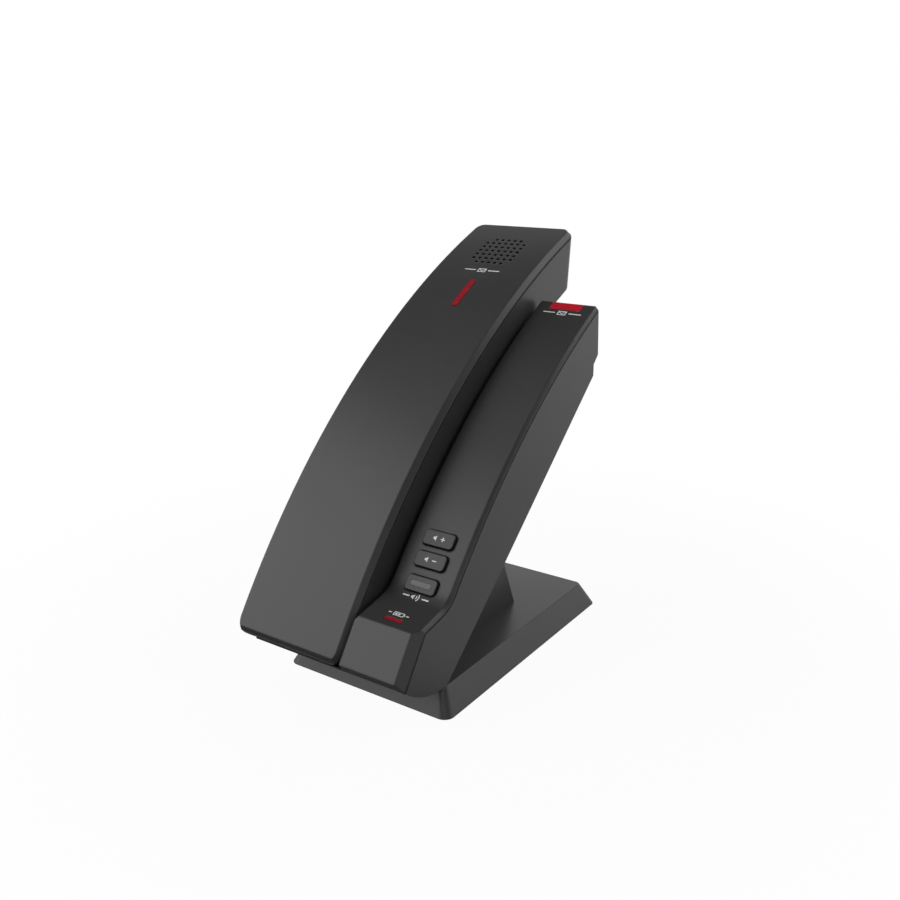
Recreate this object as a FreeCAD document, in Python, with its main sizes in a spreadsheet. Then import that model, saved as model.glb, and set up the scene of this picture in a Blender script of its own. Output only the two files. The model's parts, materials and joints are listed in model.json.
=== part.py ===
import FreeCAD, Part
import Sketcher
import math
import os

# A cordless phone: a handset that lies in the left half of a leaning base, and beside it a
# strip with three buttons. The base leans back on a short pedestal over a weighted foot.
# The frame is in millimetres: X to the right, Y to the back, Z up, and the origin lies in the
# middle of the rubber mat that the phone stands on.

doc = FreeCAD.newDocument("CordlessPhone")
sheet = doc.addObject("Spreadsheet::Sheet", "Sizes")


class Size:
    """A number of the sheet, or one worked out from such numbers, with its expression."""

    def __init__(self, text, value):
        self.text = text
        self.value = value

    def __add__(self, other):
        other = as_size(other)
        return Size(f"({self.text} + {other.text})", self.value + other.value)

    def __sub__(self, other):
        other = as_size(other)
        return Size(f"({self.text} - {other.text})", self.value - other.value)

    def __mul__(self, other):
        other = as_size(other)
        return Size(f"({self.text} * {other.text})", self.value * other.value)

    def __truediv__(self, other):
        other = as_size(other)
        return Size(f"({self.text} / {other.text})", self.value / other.value)

    def __radd__(self, other):
        return as_size(other) + self

    def __rsub__(self, other):
        return as_size(other) - self

    def __rmul__(self, other):
        return as_size(other) * self

    def __neg__(self):
        return as_size(0) - self


def as_size(number):
    if isinstance(number, Size):
        return number
    return Size(f"({number})", float(number))


def sine(angle):
    return Size(f"sin({angle.text})", math.sin(math.radians(angle.value)))


def cosine(angle):
    return Size(f"cos({angle.text})", math.cos(math.radians(angle.value)))


def root(number):
    return Size(f"sqrt({number.text})", math.sqrt(number.value))


sheet_row = 0


def size(alias, number, meaning):
    """Writes one driving dimension into the sheet."""
    global sheet_row
    sheet_row += 1
    sheet.set(f"A{sheet_row}", meaning)
    sheet.set(f"B{sheet_row}", str(number))
    sheet.setAlias(f"B{sheet_row}", alias)
    return Size(f"Sizes.{alias}", float(number))


# ---------------------------------------------------------------------------------------------
# Driving dimensions
# ---------------------------------------------------------------------------------------------

# Foot
plate_width = size("plate_width", 72.8, "foot plate, left to right, at the bottom")
plate_depth = size("plate_depth", 112.0, "foot plate, front to back, at the bottom")
plate_height = size("plate_height", 9.2, "foot plate, bottom to top")
plate_bevel = size("plate_bevel", 4.9, "how far the plate's flanks lean in")
plate_corner = size("plate_corner", 4.0, "corner radius at the plate's bottom")
plate_corner_top = size("plate_corner_top", 2.6, "corner radius at the plate's top")
plate_edge = size("plate_edge", 0.5, "rounding of the plate's top edge")
plate_wall = size("plate_wall", 2.2, "plate wall and skin")
cover_thickness = size("cover_thickness", 2.0, "cover under the plate")
mat_width = size("mat_width", 54.0, "rubber mat, left to right")
mat_depth = size("mat_depth", 84.0, "rubber mat, front to back")
mat_thickness = size("mat_thickness", 1.0, "rubber mat")
mat_proud = size("mat_proud", 0.4, "how far the mat stands out of the plate")
ballast_width = size("ballast_width", 46.0, "steel weight, left to right")
ballast_depth = size("ballast_depth", 82.0, "steel weight, front to back")
ballast_thickness = size("ballast_thickness", 3.8, "steel weight")

# Pedestal
pedestal_width = size("pedestal_width", 33.9, "pedestal, left to right")
pedestal_back = size("pedestal_back", 20.0, "foot of the pedestal's back, behind the middle")
pedestal_neck = size("pedestal_neck", 1.4, "top of the pedestal's back, behind the middle")
pedestal_toe = size("pedestal_toe", 44.0, "pedestal's front, before the middle")
pedestal_wall = size("pedestal_wall", 2.4, "pedestal wall")
pedestal_boss_height = size("pedestal_boss_height", 10.4, "screw bosses in the pedestal")
neck_boss_length = size("neck_boss_length", 9.0, "screw bosses under the pedestal's roof")

# Curved faces: the handset's face, its underside, the cradle and the strip share one axis
face_radius = size("face_radius", 332.5, "radius of the handset's face along its length")
lean = size("lean", 40.0, "slope of the handset's face at the reference point")
face_behind = size("face_behind", 43.8, "reference point, behind the plate's front top edge")
face_above = size("face_above", 87.5, "reference point, above the plate's top")
handset_up = size("handset_up", 111.2, "face, from the reference point to the top end")
handset_down = size("handset_down", 104.3, "face, from the reference point to the bottom end")
inner_up = size("inner_up", 99.5, "ear side, from the reference point to the top end")
inner_down = size("inner_down", 93.4, "ear side, from the reference point to the bottom end")
handset_width = size("handset_width", 49.6, "handset, left to right")
handset_depth = size("handset_depth", 21.6, "handset, face to ear side")
handset_corner = size("handset_corner", 5.4, "handset's corners seen from the face")
handset_bevel = size("handset_bevel", 2.2, "bevel around the handset's face")
end_bevel = size("end_bevel", 3.3, "bevel at the handset's bottom end, along the face")
end_bevel_depth = size("end_bevel_depth", 2.6, "depth of the bevel at the bottom end")
handset_soft = size("handset_soft", 1.2, "rounding around the handset's ear side")
handset_wall = size("handset_wall", 2.0, "handset walls")
seam = size("seam", 0.3, "open line between two halves of a casing")

# Base body
strip_width = size("strip_width", 26.4, "strip beside the handset")
strip_drop = size("strip_drop", 11.1, "strip's surface, below the handset's face")
strip_up = size("strip_up", 70.2, "strip, from the reference point to the top end")
strip_bevel = size("strip_bevel", 1.4, "bevel along the strip's right edge")
strip_inner_bevel = size("strip_inner_bevel", 1.0, "bevel along the strip's left edge")
front_bevel = size("front_bevel", 3.2, "bevel on the right of the strip's front face")
nose_bevel = size("nose_bevel", 1.35, "bevel below the strip's front face")
shelf_slope = size("shelf_slope", 12.0, "slope of the shelf at the strip's foot")
shelf_blend = size("shelf_blend", 12.0, "hollow between the strip's curve and the shelf")
shelf_behind = size("shelf_behind", -11.0, "shelf's front, behind the plate's front top edge")
shelf_above = size("shelf_above", 26.6, "shelf's front, above the plate's top")
front_slope = size("front_slope", 55.8, "slope of the strip's front face")
nose_ahead = size("nose_ahead", 21.9, "nose, ahead of the plate's front top edge")
nose_above = size("nose_above", 8.6, "nose, above the plate's top")
lip_setback = size("lip_setback", 1.0, "front edge under the handset, behind the nose")
belly_radius = size("belly_radius", 36.0, "curve below the nose")
heel = size("heel", 1.8, "flat by which the body stands on the plate's front edge")
underside_slope = size("underside_slope", 40.9, "slope of the body's underside")
rear_height = size("rear_height", 19.4, "upper part of the body's rear end")
rear_swell = size("rear_swell", 1.3, "how far the rear end leans back on its way down")
rear_step = size("rear_step", 3.4, "step under the rear end")
body_width = size("body_width", 67.9, "body, left to right")
body_wall = size("body_wall", 2.2, "body walls")
cover_skin = size("cover_skin", 2.6, "skin of the top cover")
cradle_skin = size("cradle_skin", 2.0, "skin of the cradle")
cradle_gap = size("cradle_gap", 0.5, "air between the handset and the cradle")
handset_gap = size("handset_gap", 1.15, "air between the handset and the strip")
key_recess = size("key_recess", 1.3, "hollow in the cradle that clears the keys")

# Buttons on the strip
button_width = size("button_width", 12.7, "button, left to right")
button_length = size("button_length", 5.7, "button, up and down the strip")
button_corner = size("button_corner", 1.4, "button's corners")
button_rise = size("button_rise", 1.1, "how far a button stands out")
button_soft = size("button_soft", 0.4, "rounding of a button's top edge")
button_travel = size("button_travel", 0.5, "how far a button goes in")
button_play = size("button_play", 0.25, "air around a button")
volume_up_place = size("volume_up_place", 49.1, "louder button, below the reference point")
volume_down_place = size("volume_down_place", 57.5, "quieter button, below the reference point")
speaker_place = size("speaker_place", 66.8, "speaker button, below the reference point")
bar_width = size("bar_width", 8.4, "light bar in the speaker button, left to right")
bar_length = size("bar_length", 1.9, "light bar in the speaker button, up and down")
bar_depth = size("bar_depth", 1.2, "light bar in the speaker button, depth")

# Lights
message_width = size("message_width", 13.6, "message light on the base, left to right")
message_length = size("message_length", 4.2, "message light on the base, along the strip")
message_depth = size("message_depth", 4.0, "message light on the base, down the rear end")
charge_width = size("charge_width", 7.1, "charge light, left to right")
charge_length = size("charge_length", 1.3, "charge light, front to back")
charge_inset = size("charge_inset", 3.6, "charge light, behind the shelf's front edge")
charge_drop = size("charge_drop", 14.0, "charge light's guide, down from the shelf")
slot_width = size("slot_width", 2.8, "message light in the handset, across")
slot_length = size("slot_length", 16.8, "message light in the handset, along")
slot_place = size("slot_place", 56.7, "message light in the handset, above the reference point")

# Sound
grille_pitch = size("grille_pitch", 3.0, "pitch of the holes in the handset's grille")
grille_hole = size("grille_hole", 0.85, "radius of the holes in the handset's grille")
grille_place = size("grille_place", 87.0, "middle of the grille, above the reference point")
ringer_radius = size("ringer_radius", 12.5, "loudspeaker behind the handset's grille")
ringer_depth = size("ringer_depth", 5.0, "loudspeaker behind the handset's grille, depth")
earpiece_radius = size("earpiece_radius", 8.0, "earpiece capsule")
earpiece_depth = size("earpiece_depth", 4.2, "earpiece capsule, depth")
speaker_radius = size("speaker_radius", 15.0, "loudspeaker in the base")
speaker_depth = size("speaker_depth", 5.5, "loudspeaker in the base, depth")

# Keys on the handset's ear side
key_width = size("key_width", 10.4, "dial key, left to right")
key_length = size("key_length", 7.0, "dial key, up and down")
key_corner = size("key_corner", 2.4, "dial key's corners")
key_rise = size("key_rise", 0.9, "how far a key stands out")
key_soft = size("key_soft", 0.35, "rounding of a key's top edge")
key_travel = size("key_travel", 0.8, "how far a key goes in")
key_play = size("key_play", 0.25, "air around a key")
key_pitch_across = size("key_pitch_across", 13.2, "pitch of the keys, left to right")
key_pitch_along = size("key_pitch_along", 12.6, "pitch of the keys, up and down")
keypad_top = size("keypad_top", 50.0, "top row of keys, above the reference point")
flange_reach = size("flange_reach", 0.7, "how far a key's or button's flange reaches past its cap")
flange_thickness = size("flange_thickness", 0.8, "flange that keeps a key or button in")

# Electronics
board_thickness = size("board_thickness", 1.6, "circuit boards")
board_rise = size("board_rise", 11.0, "base board, above the body's underside")
board_width = size("board_width", 19.0, "base board, left to right")
battery_length = size("battery_length", 44.5, "battery cell, length")
battery_radius = size("battery_radius", 5.25, "battery cell, radius")
battery_place = size("battery_place", 48.0, "middle of the battery, below the reference point")
board_length = size("board_length", 146.0, "base board, up and down the body")
jack_width = size("jack_width", 12.6, "line socket, across")
jack_height = size("jack_height", 11.4, "line and power sockets, height")
jack_depth = size("jack_depth", 12.0, "line and power sockets, depth")
shelf_thickness = size("shelf_thickness", 1.6, "shelf that the sockets stand on")
plug_width = size("plug_width", 9.8, "room for the line plug, across")
plug_height = size("plug_height", 6.8, "room for the line plug, height")
power_width = size("power_width", 9.0, "power socket, across")
power_bore = size("power_bore", 2.8, "room for the power plug, radius")
cable_radius = size("cable_radius", 1.6, "cable loom from the sockets to the base board")
switch_width = size("switch_width", 6.0, "push switch, across")
switch_height = size("switch_height", 4.0, "push switch, height with its plunger")
lamp_height = size("lamp_height", 2.4, "lamps on the boards, height")
lamp_width = size("lamp_width", 3.0, "lamps on the boards, across")
microphone_radius = size("microphone_radius", 2.6, "microphone capsules")
microphone_depth = size("microphone_depth", 2.2, "microphone capsules, depth")
sheet_thickness = size("sheet_thickness", 0.8, "keypad rubber")
circuit_length = size("circuit_length", 88.0, "handset's board, length")
light_drop = size("light_drop", 9.0, "handset's message light, down from the face")
contact_radius = size("contact_radius", 2.3, "charging contacts in the handset")
pin_radius = size("pin_radius", 1.2, "charging pin")
pin_play = size("pin_play", 0.08, "air around a charging pin")
pin_travel = size("pin_travel", 0.8, "how far a charging pin goes in")
pin_pitch = size("pin_pitch", 16.0, "between the two charging pins")
pin_place = size("pin_place", 84.5, "charging pins, below the reference point")

# Screws
screw_radius = size("screw_radius", 1.2, "screw shank")
screw_head = size("screw_head", 2.3, "screw head, radius")
screw_head_height = size("screw_head_height", 1.4, "screw head, height")
boss_radius = size("boss_radius", 2.8, "screw boss")
boss_hole_depth = size("boss_hole_depth", 10.0, "screw holes in the cover's bosses")
shell_screw_upper = size("shell_screw_upper", 74.0, "handset's upper screws, above the reference")
shell_screw_lower = size("shell_screw_lower", 14.0, "handset's lower screws, below the reference")
fit = size("fit", 0.05, "air between parts that are fixed to each other")
reach = size("reach", 60.0, "how far a cutting shape runs past the body it cuts")

doc.recompute()

# ---------------------------------------------------------------------------------------------
# Sizes that follow from the driving ones
# ---------------------------------------------------------------------------------------------

plate_bottom = mat_proud
plate_top = plate_bottom + plate_height
plate_front = plate_bevel - plate_depth / 2

# The shared axis of the curved faces
reference_y = plate_front + face_behind
reference_z = plate_top + face_above
axis_y = reference_y + face_radius * sine(lean)
axis_z = reference_z - face_radius * cosine(lean)

inner_radius = face_radius - handset_depth
strip_radius = face_radius - strip_drop
bed_radius = inner_radius - cradle_gap

strip_right = plate_width / 2 - plate_bevel
strip_left = strip_right - strip_width
strip_middle = strip_right - strip_width / 2
body_left = strip_right - body_width
handset_right = strip_left - handset_gap
handset_left = handset_right - handset_width
handset_middle = handset_right - handset_width / 2
cradle_middle = (body_left + strip_left) / 2


def slope_at(place):
    """Slope of the curved faces at a place along the handset, measured on its face."""
    return lean + place / face_radius * 57.29577951308232


def on_curve(radius, place):
    """A point of the Y-Z plane at a radius from the shared axis."""
    slope = slope_at(place)
    return axis_y - radius * sine(slope), axis_z + radius * cosine(slope)


class Frame:
    """A tilted working plane: v runs up its slope, w stands square to it, and x is shared."""

    def __init__(self, y, z, tilt):
        self.y = y
        self.z = z
        self.tilt = tilt

    def point(self, v, w):
        sin_tilt = sine(self.tilt)
        cos_tilt = cosine(self.tilt)
        return self.y + v * cos_tilt - w * sin_tilt, self.z + v * sin_tilt + w * cos_tilt


def curve_frame(radius, place):
    y, z = on_curve(radius, place)
    return Frame(y, z, slope_at(place))


floor_frame = Frame(as_size(0), as_size(0), as_size(0))
heel_y = plate_front + heel
underside_frame = Frame(heel_y, plate_top, underside_slope)


# ---------------------------------------------------------------------------------------------
# Makers of the common shapes
# ---------------------------------------------------------------------------------------------

def bind(thing, name, amount):
    thing.setExpression(name, as_size(amount).text)


def seat(thing, frame, x, v, w):
    """Places an object on a tilted plane."""
    y, z = frame.point(as_size(v), as_size(w))
    thing.Placement = FreeCAD.Placement(
        FreeCAD.Vector(0, 0, 0), FreeCAD.Rotation(FreeCAD.Vector(1, 0, 0), 1))
    bind(thing, "Placement.Base.x", x)
    bind(thing, "Placement.Base.y", y)
    bind(thing, "Placement.Base.z", z)
    bind(thing, "Placement.Rotation.Angle", frame.tilt)
    return thing


def block(name, frame, x_range, v_range, w_range):
    box = doc.addObject("Part::Box", name)
    bind(box, "Length", x_range[1] - x_range[0])
    bind(box, "Width", v_range[1] - v_range[0])
    bind(box, "Height", w_range[1] - w_range[0])
    return seat(box, frame, x_range[0], v_range[0], w_range[0])


def about(middle, extent):
    """The two ends of an extent about its middle."""
    return middle - extent / 2, middle + extent / 2


def drum(name, frame, x, v, w_range, radius):
    cylinder = doc.addObject("Part::Cylinder", name)
    bind(cylinder, "Radius", radius)
    bind(cylinder, "Height", w_range[1] - w_range[0])
    return seat(cylinder, frame, x, v, w_range[0])


def cut(name, base, *tools):
    result = doc.addObject("Part::Cut", name)
    result.Base = base
    result.Tool = tools[0] if len(tools) == 1 else fuse(name + "_tools", *tools)
    return result


def fuse(name, *shapes):
    result = doc.addObject("Part::MultiFuse", name)
    result.Shapes = list(shapes)
    return result


def common(name, first, second):
    result = doc.addObject("Part::MultiCommon", name)
    result.Shapes = [first, second]
    return result


def corner_constraint(sketch, geometry, end, kind, amount):
    """Ties one coordinate of a corner to the sheet, from the sketch's origin."""
    amount = as_size(amount)
    row = Sketcher.Constraint(kind, -1, 1, geometry, end, amount.value)
    index = sketch.addConstraint(row)
    sketch.setExpression(f"Constraints[{index}]", amount.text)


def arc_between(start, finish, radius):
    """An arc under half a turn. A positive radius turns left on the way, a negative right."""
    chord = finish - start
    half = chord.Length / 2
    left = FreeCAD.Vector(-chord.y, chord.x, 0).normalize()
    side = 1 if radius > 0 else -1
    middle = (start + finish) / 2
    centre = middle + left * (side * math.sqrt(radius * radius - half * half))
    crown = centre + ((middle - centre).normalize()) * abs(radius)
    return Part.Arc(start, crown, finish)


def closed_outline(sketch, corners):
    """Draws a closed outline. A corner is (a, b), or (a, b, radius) if an arc leads to it."""
    count = len(corners)
    spots = [FreeCAD.Vector(as_size(c[0]).value, as_size(c[1]).value, 0) for c in corners]
    for index in range(count):
        start = spots[index]
        following = corners[(index + 1) % count]
        finish = spots[(index + 1) % count]
        if len(following) == 2:
            sketch.addGeometry(Part.LineSegment(start, finish), False)
        else:
            sketch.addGeometry(arc_between(start, finish, following[2].value), False)
    first_ends = []
    for index in range(count):
        following = corners[(index + 1) % count]
        turns_right = len(following) == 3 and following[2].value < 0
        first_ends.append(2 if turns_right else 1)
    for index in range(count):
        after = (index + 1) % count
        last_end = 3 - first_ends[index]
        sketch.addConstraint(
            Sketcher.Constraint("Coincident", index, last_end, after, first_ends[after]))
    for index, corner in enumerate(corners):
        corner_constraint(sketch, index, first_ends[index], "DistanceX", corner[0])
        corner_constraint(sketch, index, first_ends[index], "DistanceY", corner[1])
        following = corners[(index + 1) % count]
        if len(following) == 3:
            radius = following[2] if following[2].value > 0 else -following[2]
            row = sketch.addConstraint(Sketcher.Constraint("Radius", index, radius.value))
            sketch.setExpression(f"Constraints[{row}]", radius.text)


def side_sketch(name, corners):
    """A closed outline in the Y-Z plane."""
    sketch = doc.addObject("Sketcher::SketchObject", name)
    sketch.Placement = FreeCAD.Placement(
        FreeCAD.Vector(0, 0, 0), FreeCAD.Rotation(FreeCAD.Vector(1, 1, 1), 120))
    closed_outline(sketch, corners)
    return sketch


def slab(name, corners, x_range):
    """A side outline drawn out from left to right."""
    result = doc.addObject("Part::Extrusion", name)
    result.Base = side_sketch(name + "_outline", corners)
    result.DirMode = "Custom"
    result.Dir = FreeCAD.Vector(1, 0, 0)
    result.Solid = True
    bind(result, "LengthFwd", x_range[1] - x_range[0])
    bind(result, "Placement.Base.x", x_range[0])
    return result


def plane_of(body, role):
    return [plane for plane in body.Origin.OriginFeatures if plane.Role == role][0]


def plate_outline(sketch, width, length, radius):
    """A rounded rectangle about the sketch's origin."""
    a = width / 2
    b = length / 2
    closed_outline(sketch, [
        (-a + radius, -b, radius), (a - radius, -b), (a, -b + radius, radius), (a, b - radius),
        (a - radius, b, radius), (-a + radius, b), (-a, b - radius, radius), (-a, -b + radius)])


def padded_plate(name, width, length, radius, thickness, soft=None):
    """A PartDesign body: a rounded rectangle padded up, with its top edge rounded if soft."""
    body = doc.addObject("PartDesign::Body", name)
    sketch = body.newObject("Sketcher::SketchObject", name + "_sketch")
    sketch.AttachmentSupport = [(plane_of(body, "XY_Plane"), "")]
    sketch.MapMode = "FlatFace"
    plate_outline(sketch, width, length, radius)
    pad = body.newObject("PartDesign::Pad", name + "_pad")
    pad.Profile = sketch
    bind(pad, "Length", thickness)
    if soft is not None:
        doc.recompute()
        top = as_size(thickness).value
        edges = edges_where(pad.Shape, lambda edge: edge.BoundBox.ZMin > top - 0.001)
        fillet = body.newObject("PartDesign::Fillet", name + "_soft_edge")
        fillet.Base = (pad, edges)
        bind(fillet, "Radius", soft)
        body.Tip = fillet
    return body


def edges_where(shape, wanted):
    return [f"Edge{index + 1}" for index, edge in enumerate(shape.Edges) if wanted(edge)]


def dressed(kind, name, base, wanted, amount):
    """A Part::Fillet or Part::Chamfer on the edges that a test picks out."""
    doc.recompute()
    result = doc.addObject(kind, name)
    result.Base = base
    numbers = [int(edge[4:]) for edge in edges_where(base.Shape, wanted)]
    result.Edges = [(number, amount(number), amount(number)) for number in numbers]
    return result


def frustum(name, lower, upper):
    """A loft between two rounded rectangles, each given as width, length, radius, height."""
    sections = []
    for word, (width, length, radius, height) in (("lower", lower), ("upper", upper)):
        sketch = doc.addObject("Sketcher::SketchObject", f"{name}_{word}")
        plate_outline(sketch, width, length, radius)
        bind(sketch, "Placement.Base.z", height)
        sections.append(sketch)
    loft = doc.addObject("Part::Loft", name)
    loft.Sections = sections
    loft.Solid = True
    loft.Ruled = True
    return loft


def screw(name, frame, x, v, w_head, length, upward=True):
    """A pan-head screw whose head bears at w_head, with its shank pointing up or down w."""
    if upward:
        head_range = (w_head - screw_head_height, w_head)
        shank_range = (w_head - screw_head_height / 2, w_head + length)
    else:
        head_range = (w_head, w_head + screw_head_height)
        shank_range = (w_head - length, w_head + screw_head_height / 2)
    head = drum(name + "_head", frame, x, v, head_range, screw_head)
    shank = drum(name + "_shank", frame, x, v, shank_range, screw_radius)
    return fuse(name, head, shank)


parts = {}


def finished(node, shape):
    """Names a finished piece of the phone."""
    shape.Label = node
    parts[node] = shape
    return shape


# ---------------------------------------------------------------------------------------------
# Foot: plate, bottom cover, steel weight, rubber mat and screws
# ---------------------------------------------------------------------------------------------

def plate_lean(height):
    """How far the plate's flanks have leaned in at a height above its bottom."""
    return plate_bevel * height / plate_height


rim = plate_wall + 0.4
inner_width = plate_width - rim * 2
inner_depth = plate_depth - rim * 2
skin_bottom = plate_height - plate_wall
foot_screw_x = plate_width / 2 - plate_bevel - boss_radius - 2
foot_screw_y = plate_depth / 2 - plate_bevel - boss_radius - 2
pedestal_screw_x = pedestal_width / 2 - pedestal_wall - boss_radius + 0.6
pedestal_screw_front = -pedestal_toe / 2
pedestal_screw_back = pedestal_back - pedestal_wall - boss_radius - 3
foot_corners = [(x, y) for x in (-foot_screw_x, foot_screw_x)
                for y in (-foot_screw_y, foot_screw_y)]
pedestal_corners = [(x, y) for x in (-pedestal_screw_x, pedestal_screw_x)
                    for y in (pedestal_screw_front, pedestal_screw_back)]

plate_block = frustum(
    "plate_block",
    (plate_width, plate_depth, plate_corner, plate_bottom),
    (plate_width - plate_bevel * 2, plate_depth - plate_bevel * 2, plate_corner_top, plate_top))
plate_hollow = frustum(
    "plate_hollow",
    (inner_width, inner_depth, plate_corner_top, plate_bottom),
    (inner_width - plate_lean(skin_bottom) * 2, inner_depth - plate_lean(skin_bottom) * 2,
     plate_corner_top / 2, plate_bottom + skin_bottom))
plate_rounded = dressed(
    "Part::Fillet", "plate_rounded", plate_block,
    lambda edge: edge.BoundBox.ZMin > plate_top.value - 0.001, lambda number: plate_edge.value)
plate_shell = cut("plate_shell", plate_rounded, plate_hollow)

boss_range = (plate_bottom + cover_thickness + fit, plate_bottom + skin_bottom + 0.5)
bosses = [drum(f"foot_boss_{i}", floor_frame, x, y, boss_range, boss_radius)
          for i, (x, y) in enumerate(foot_corners)]
boss_holes = [drum(f"foot_boss_hole_{i}", floor_frame, x, y,
                   (plate_bottom, plate_bottom + skin_bottom - 0.6), screw_radius + fit)
              for i, (x, y) in enumerate(foot_corners)]
skin_holes = [drum(f"skin_hole_{i}", floor_frame, x, y,
                   (plate_bottom + skin_bottom - 1, plate_top + 1), screw_radius + fit)
              for i, (x, y) in enumerate(pedestal_corners)]
plate_with_bosses = fuse("plate_with_bosses", plate_shell, *bosses)
finished("foot_plate", cut("foot_plate", plate_with_bosses, *boss_holes, *skin_holes))

cover_top = plate_bottom + cover_thickness
cover_block = frustum(
    "cover_block",
    (inner_width - fit * 2, inner_depth - fit * 2, plate_corner_top, plate_bottom),
    (inner_width - plate_lean(cover_thickness) * 2 - fit * 2,
     inner_depth - plate_lean(cover_thickness) * 2 - fit * 2, plate_corner_top, cover_top))
mat_recess = padded_plate("mat_recess", mat_width + fit * 4, mat_depth + fit * 4, plate_corner,
                          mat_thickness)
cover_holes = [drum(f"cover_hole_{i}", floor_frame, x, y, (plate_bottom - 1, cover_top + 1),
                    screw_radius + fit * 3) for i, (x, y) in enumerate(foot_corners)]
head_seat = plate_bottom + screw_head_height
cover_sinks = [drum(f"cover_sink_{i}", floor_frame, x, y, (plate_bottom - 1, head_seat),
                    screw_head + fit * 4) for i, (x, y) in enumerate(foot_corners)]
finished("foot_cover", cut("foot_cover", cover_block, mat_recess, *cover_holes, *cover_sinks))

mat_notches = [drum(f"mat_notch_{i}", floor_frame, x, y, (plate_bottom - 1, cover_top),
                    screw_head + fit * 6) for i, (x, y) in enumerate(foot_corners)]
finished("rubber_mat", cut("rubber_mat", padded_plate(
    "mat_blank", mat_width, mat_depth, plate_corner, mat_thickness), *mat_notches))

foot_screw_length = plate_height - plate_wall - screw_head_height - 1
finished("foot_screws", fuse("foot_screws", *[
    screw(f"foot_screw_{i}", floor_frame, x, y, head_seat, foot_screw_length)
    for i, (x, y) in enumerate(foot_corners)]))

ballast_blank = padded_plate("ballast_blank", ballast_width, ballast_depth, plate_corner,
                             ballast_thickness)
seat(ballast_blank, floor_frame, 0, 0, cover_top)
ballast_holes = [drum(f"ballast_hole_{i}", floor_frame, x, y,
                      (cover_top - 1, cover_top + ballast_thickness + 1), screw_head + 1)
                 for i, (x, y) in enumerate(pedestal_corners)]
finished("ballast_weight", cut("ballast_weight", ballast_blank, *ballast_holes))

# ---------------------------------------------------------------------------------------------
# Pedestal: a hollow stem between the plate and the leaning body
# ---------------------------------------------------------------------------------------------

underside_rise = sine(underside_slope) / cosine(underside_slope)


def underside_height(y):
    return plate_top + (y - heel_y) * underside_rise


def underside_length_at(y):
    return (y - heel_y) / cosine(underside_slope)


def pedestal_back_at(z):
    """The pedestal's leaning back, at a height."""
    height = underside_height(pedestal_neck) - plate_top
    return pedestal_back - (pedestal_back - pedestal_neck) * (z - plate_top) / height


pedestal_x = about(as_size(0), pedestal_width)
pedestal_profile = [
    (-pedestal_toe, plate_top), (pedestal_back, plate_top),
    (pedestal_neck, underside_height(pedestal_neck)),
    (-pedestal_toe, underside_height(-pedestal_toe))]
hollow_toe = pedestal_toe - pedestal_wall * 3
pedestal_hollow_profile = [
    (-hollow_toe, plate_top - 1), (pedestal_back - pedestal_wall + 0.4, plate_top - 1),
    (pedestal_neck - pedestal_wall * 2, underside_height(pedestal_neck - pedestal_wall * 4)),
    (-hollow_toe, underside_height(-hollow_toe - pedestal_wall * 1.4))]
pedestal_stem = slab("pedestal_stem", pedestal_profile, pedestal_x)
pedestal_hollow = slab("pedestal_hollow", pedestal_hollow_profile,
                       about(as_size(0), pedestal_width - pedestal_wall * 2))
pedestal_shell = cut("pedestal_shell", pedestal_stem, pedestal_hollow)
pedestal_bosses = [drum(f"pedestal_boss_{i}", floor_frame, x, y,
                        (plate_top, plate_top + pedestal_boss_height), boss_radius)
                   for i, (x, y) in enumerate(pedestal_corners)]
pedestal_holes = [drum(f"pedestal_hole_{i}", floor_frame, x, y,
                       (plate_top - 1, plate_top + pedestal_boss_height - 1),
                       screw_radius + fit) for i, (x, y) in enumerate(pedestal_corners)]

# Sockets in the pedestal's back: they stand on a shelf between its side walls
jack_floor = plate_top + pedestal_boss_height
jack_top = jack_floor + jack_height
jack_face = pedestal_back_at(jack_top)
jack_y = (jack_face - jack_depth, jack_face)
line_x = about(-(power_width / 2) - 1.2, jack_width)
power_x = about(jack_width / 2 + 1.2, power_width)
socket_openings = [
    block(f"socket_opening_{i}", floor_frame, (x[0] - fit * 2, x[1] + fit * 2),
          (jack_y[0] - fit, jack_face + reach / 4),
          (jack_floor - fit, jack_top + fit * 2)) for i, x in enumerate((line_x, power_x))]
jack_shelf = block("jack_shelf", floor_frame, about(0, pedestal_width - pedestal_wall),
                   (jack_y[0] - board_thickness - 1, jack_face + pedestal_wall * 1.4),
                   (jack_floor - shelf_thickness, jack_floor - fit))

# Two bosses under the pedestal's roof take the screws that hold the body
neck_v = underside_length_at(pedestal_neck) - 20
neck_places = [(x, neck_v) for x in (-pedestal_screw_x + 1, pedestal_screw_x - 1)]
neck_bosses = [drum(f"neck_boss_{i}", underside_frame, x, v, (-neck_boss_length, -fit),
                    boss_radius) for i, (x, v) in enumerate(neck_places)]
neck_holes = [drum(f"neck_hole_{i}", underside_frame, x, v, (-neck_boss_length + 1, as_size(1)),
                   screw_radius + fit) for i, (x, v) in enumerate(neck_places)]
cable_x = pedestal_screw_x - 2.6
cable_v = neck_v + 8
cable_hole = drum("cable_hole", underside_frame, cable_x, cable_v,
                  (-pedestal_wall * 4, body_wall + 1), cable_radius + 0.4)
pedestal_with_bosses = fuse("pedestal_with_bosses", pedestal_shell, *pedestal_bosses,
                            *neck_bosses, jack_shelf)
finished("pedestal", cut("pedestal", pedestal_with_bosses, *pedestal_holes, *neck_holes,
                         *socket_openings, cable_hole))
pedestal_screw_length = plate_wall + pedestal_boss_height - 2
foot_side = [screw(f"pedestal_screw_{i}", floor_frame, x, y, plate_top - plate_wall,
                   pedestal_screw_length) for i, (x, y) in enumerate(pedestal_corners)]
body_side = [screw(f"neck_screw_{i}", underside_frame, x, v, body_wall,
                   body_wall + neck_boss_length - 2, upward=False)
             for i, (x, v) in enumerate(neck_places)]
finished("pedestal_screws", fuse("pedestal_screws", *foot_side, *body_side))

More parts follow.
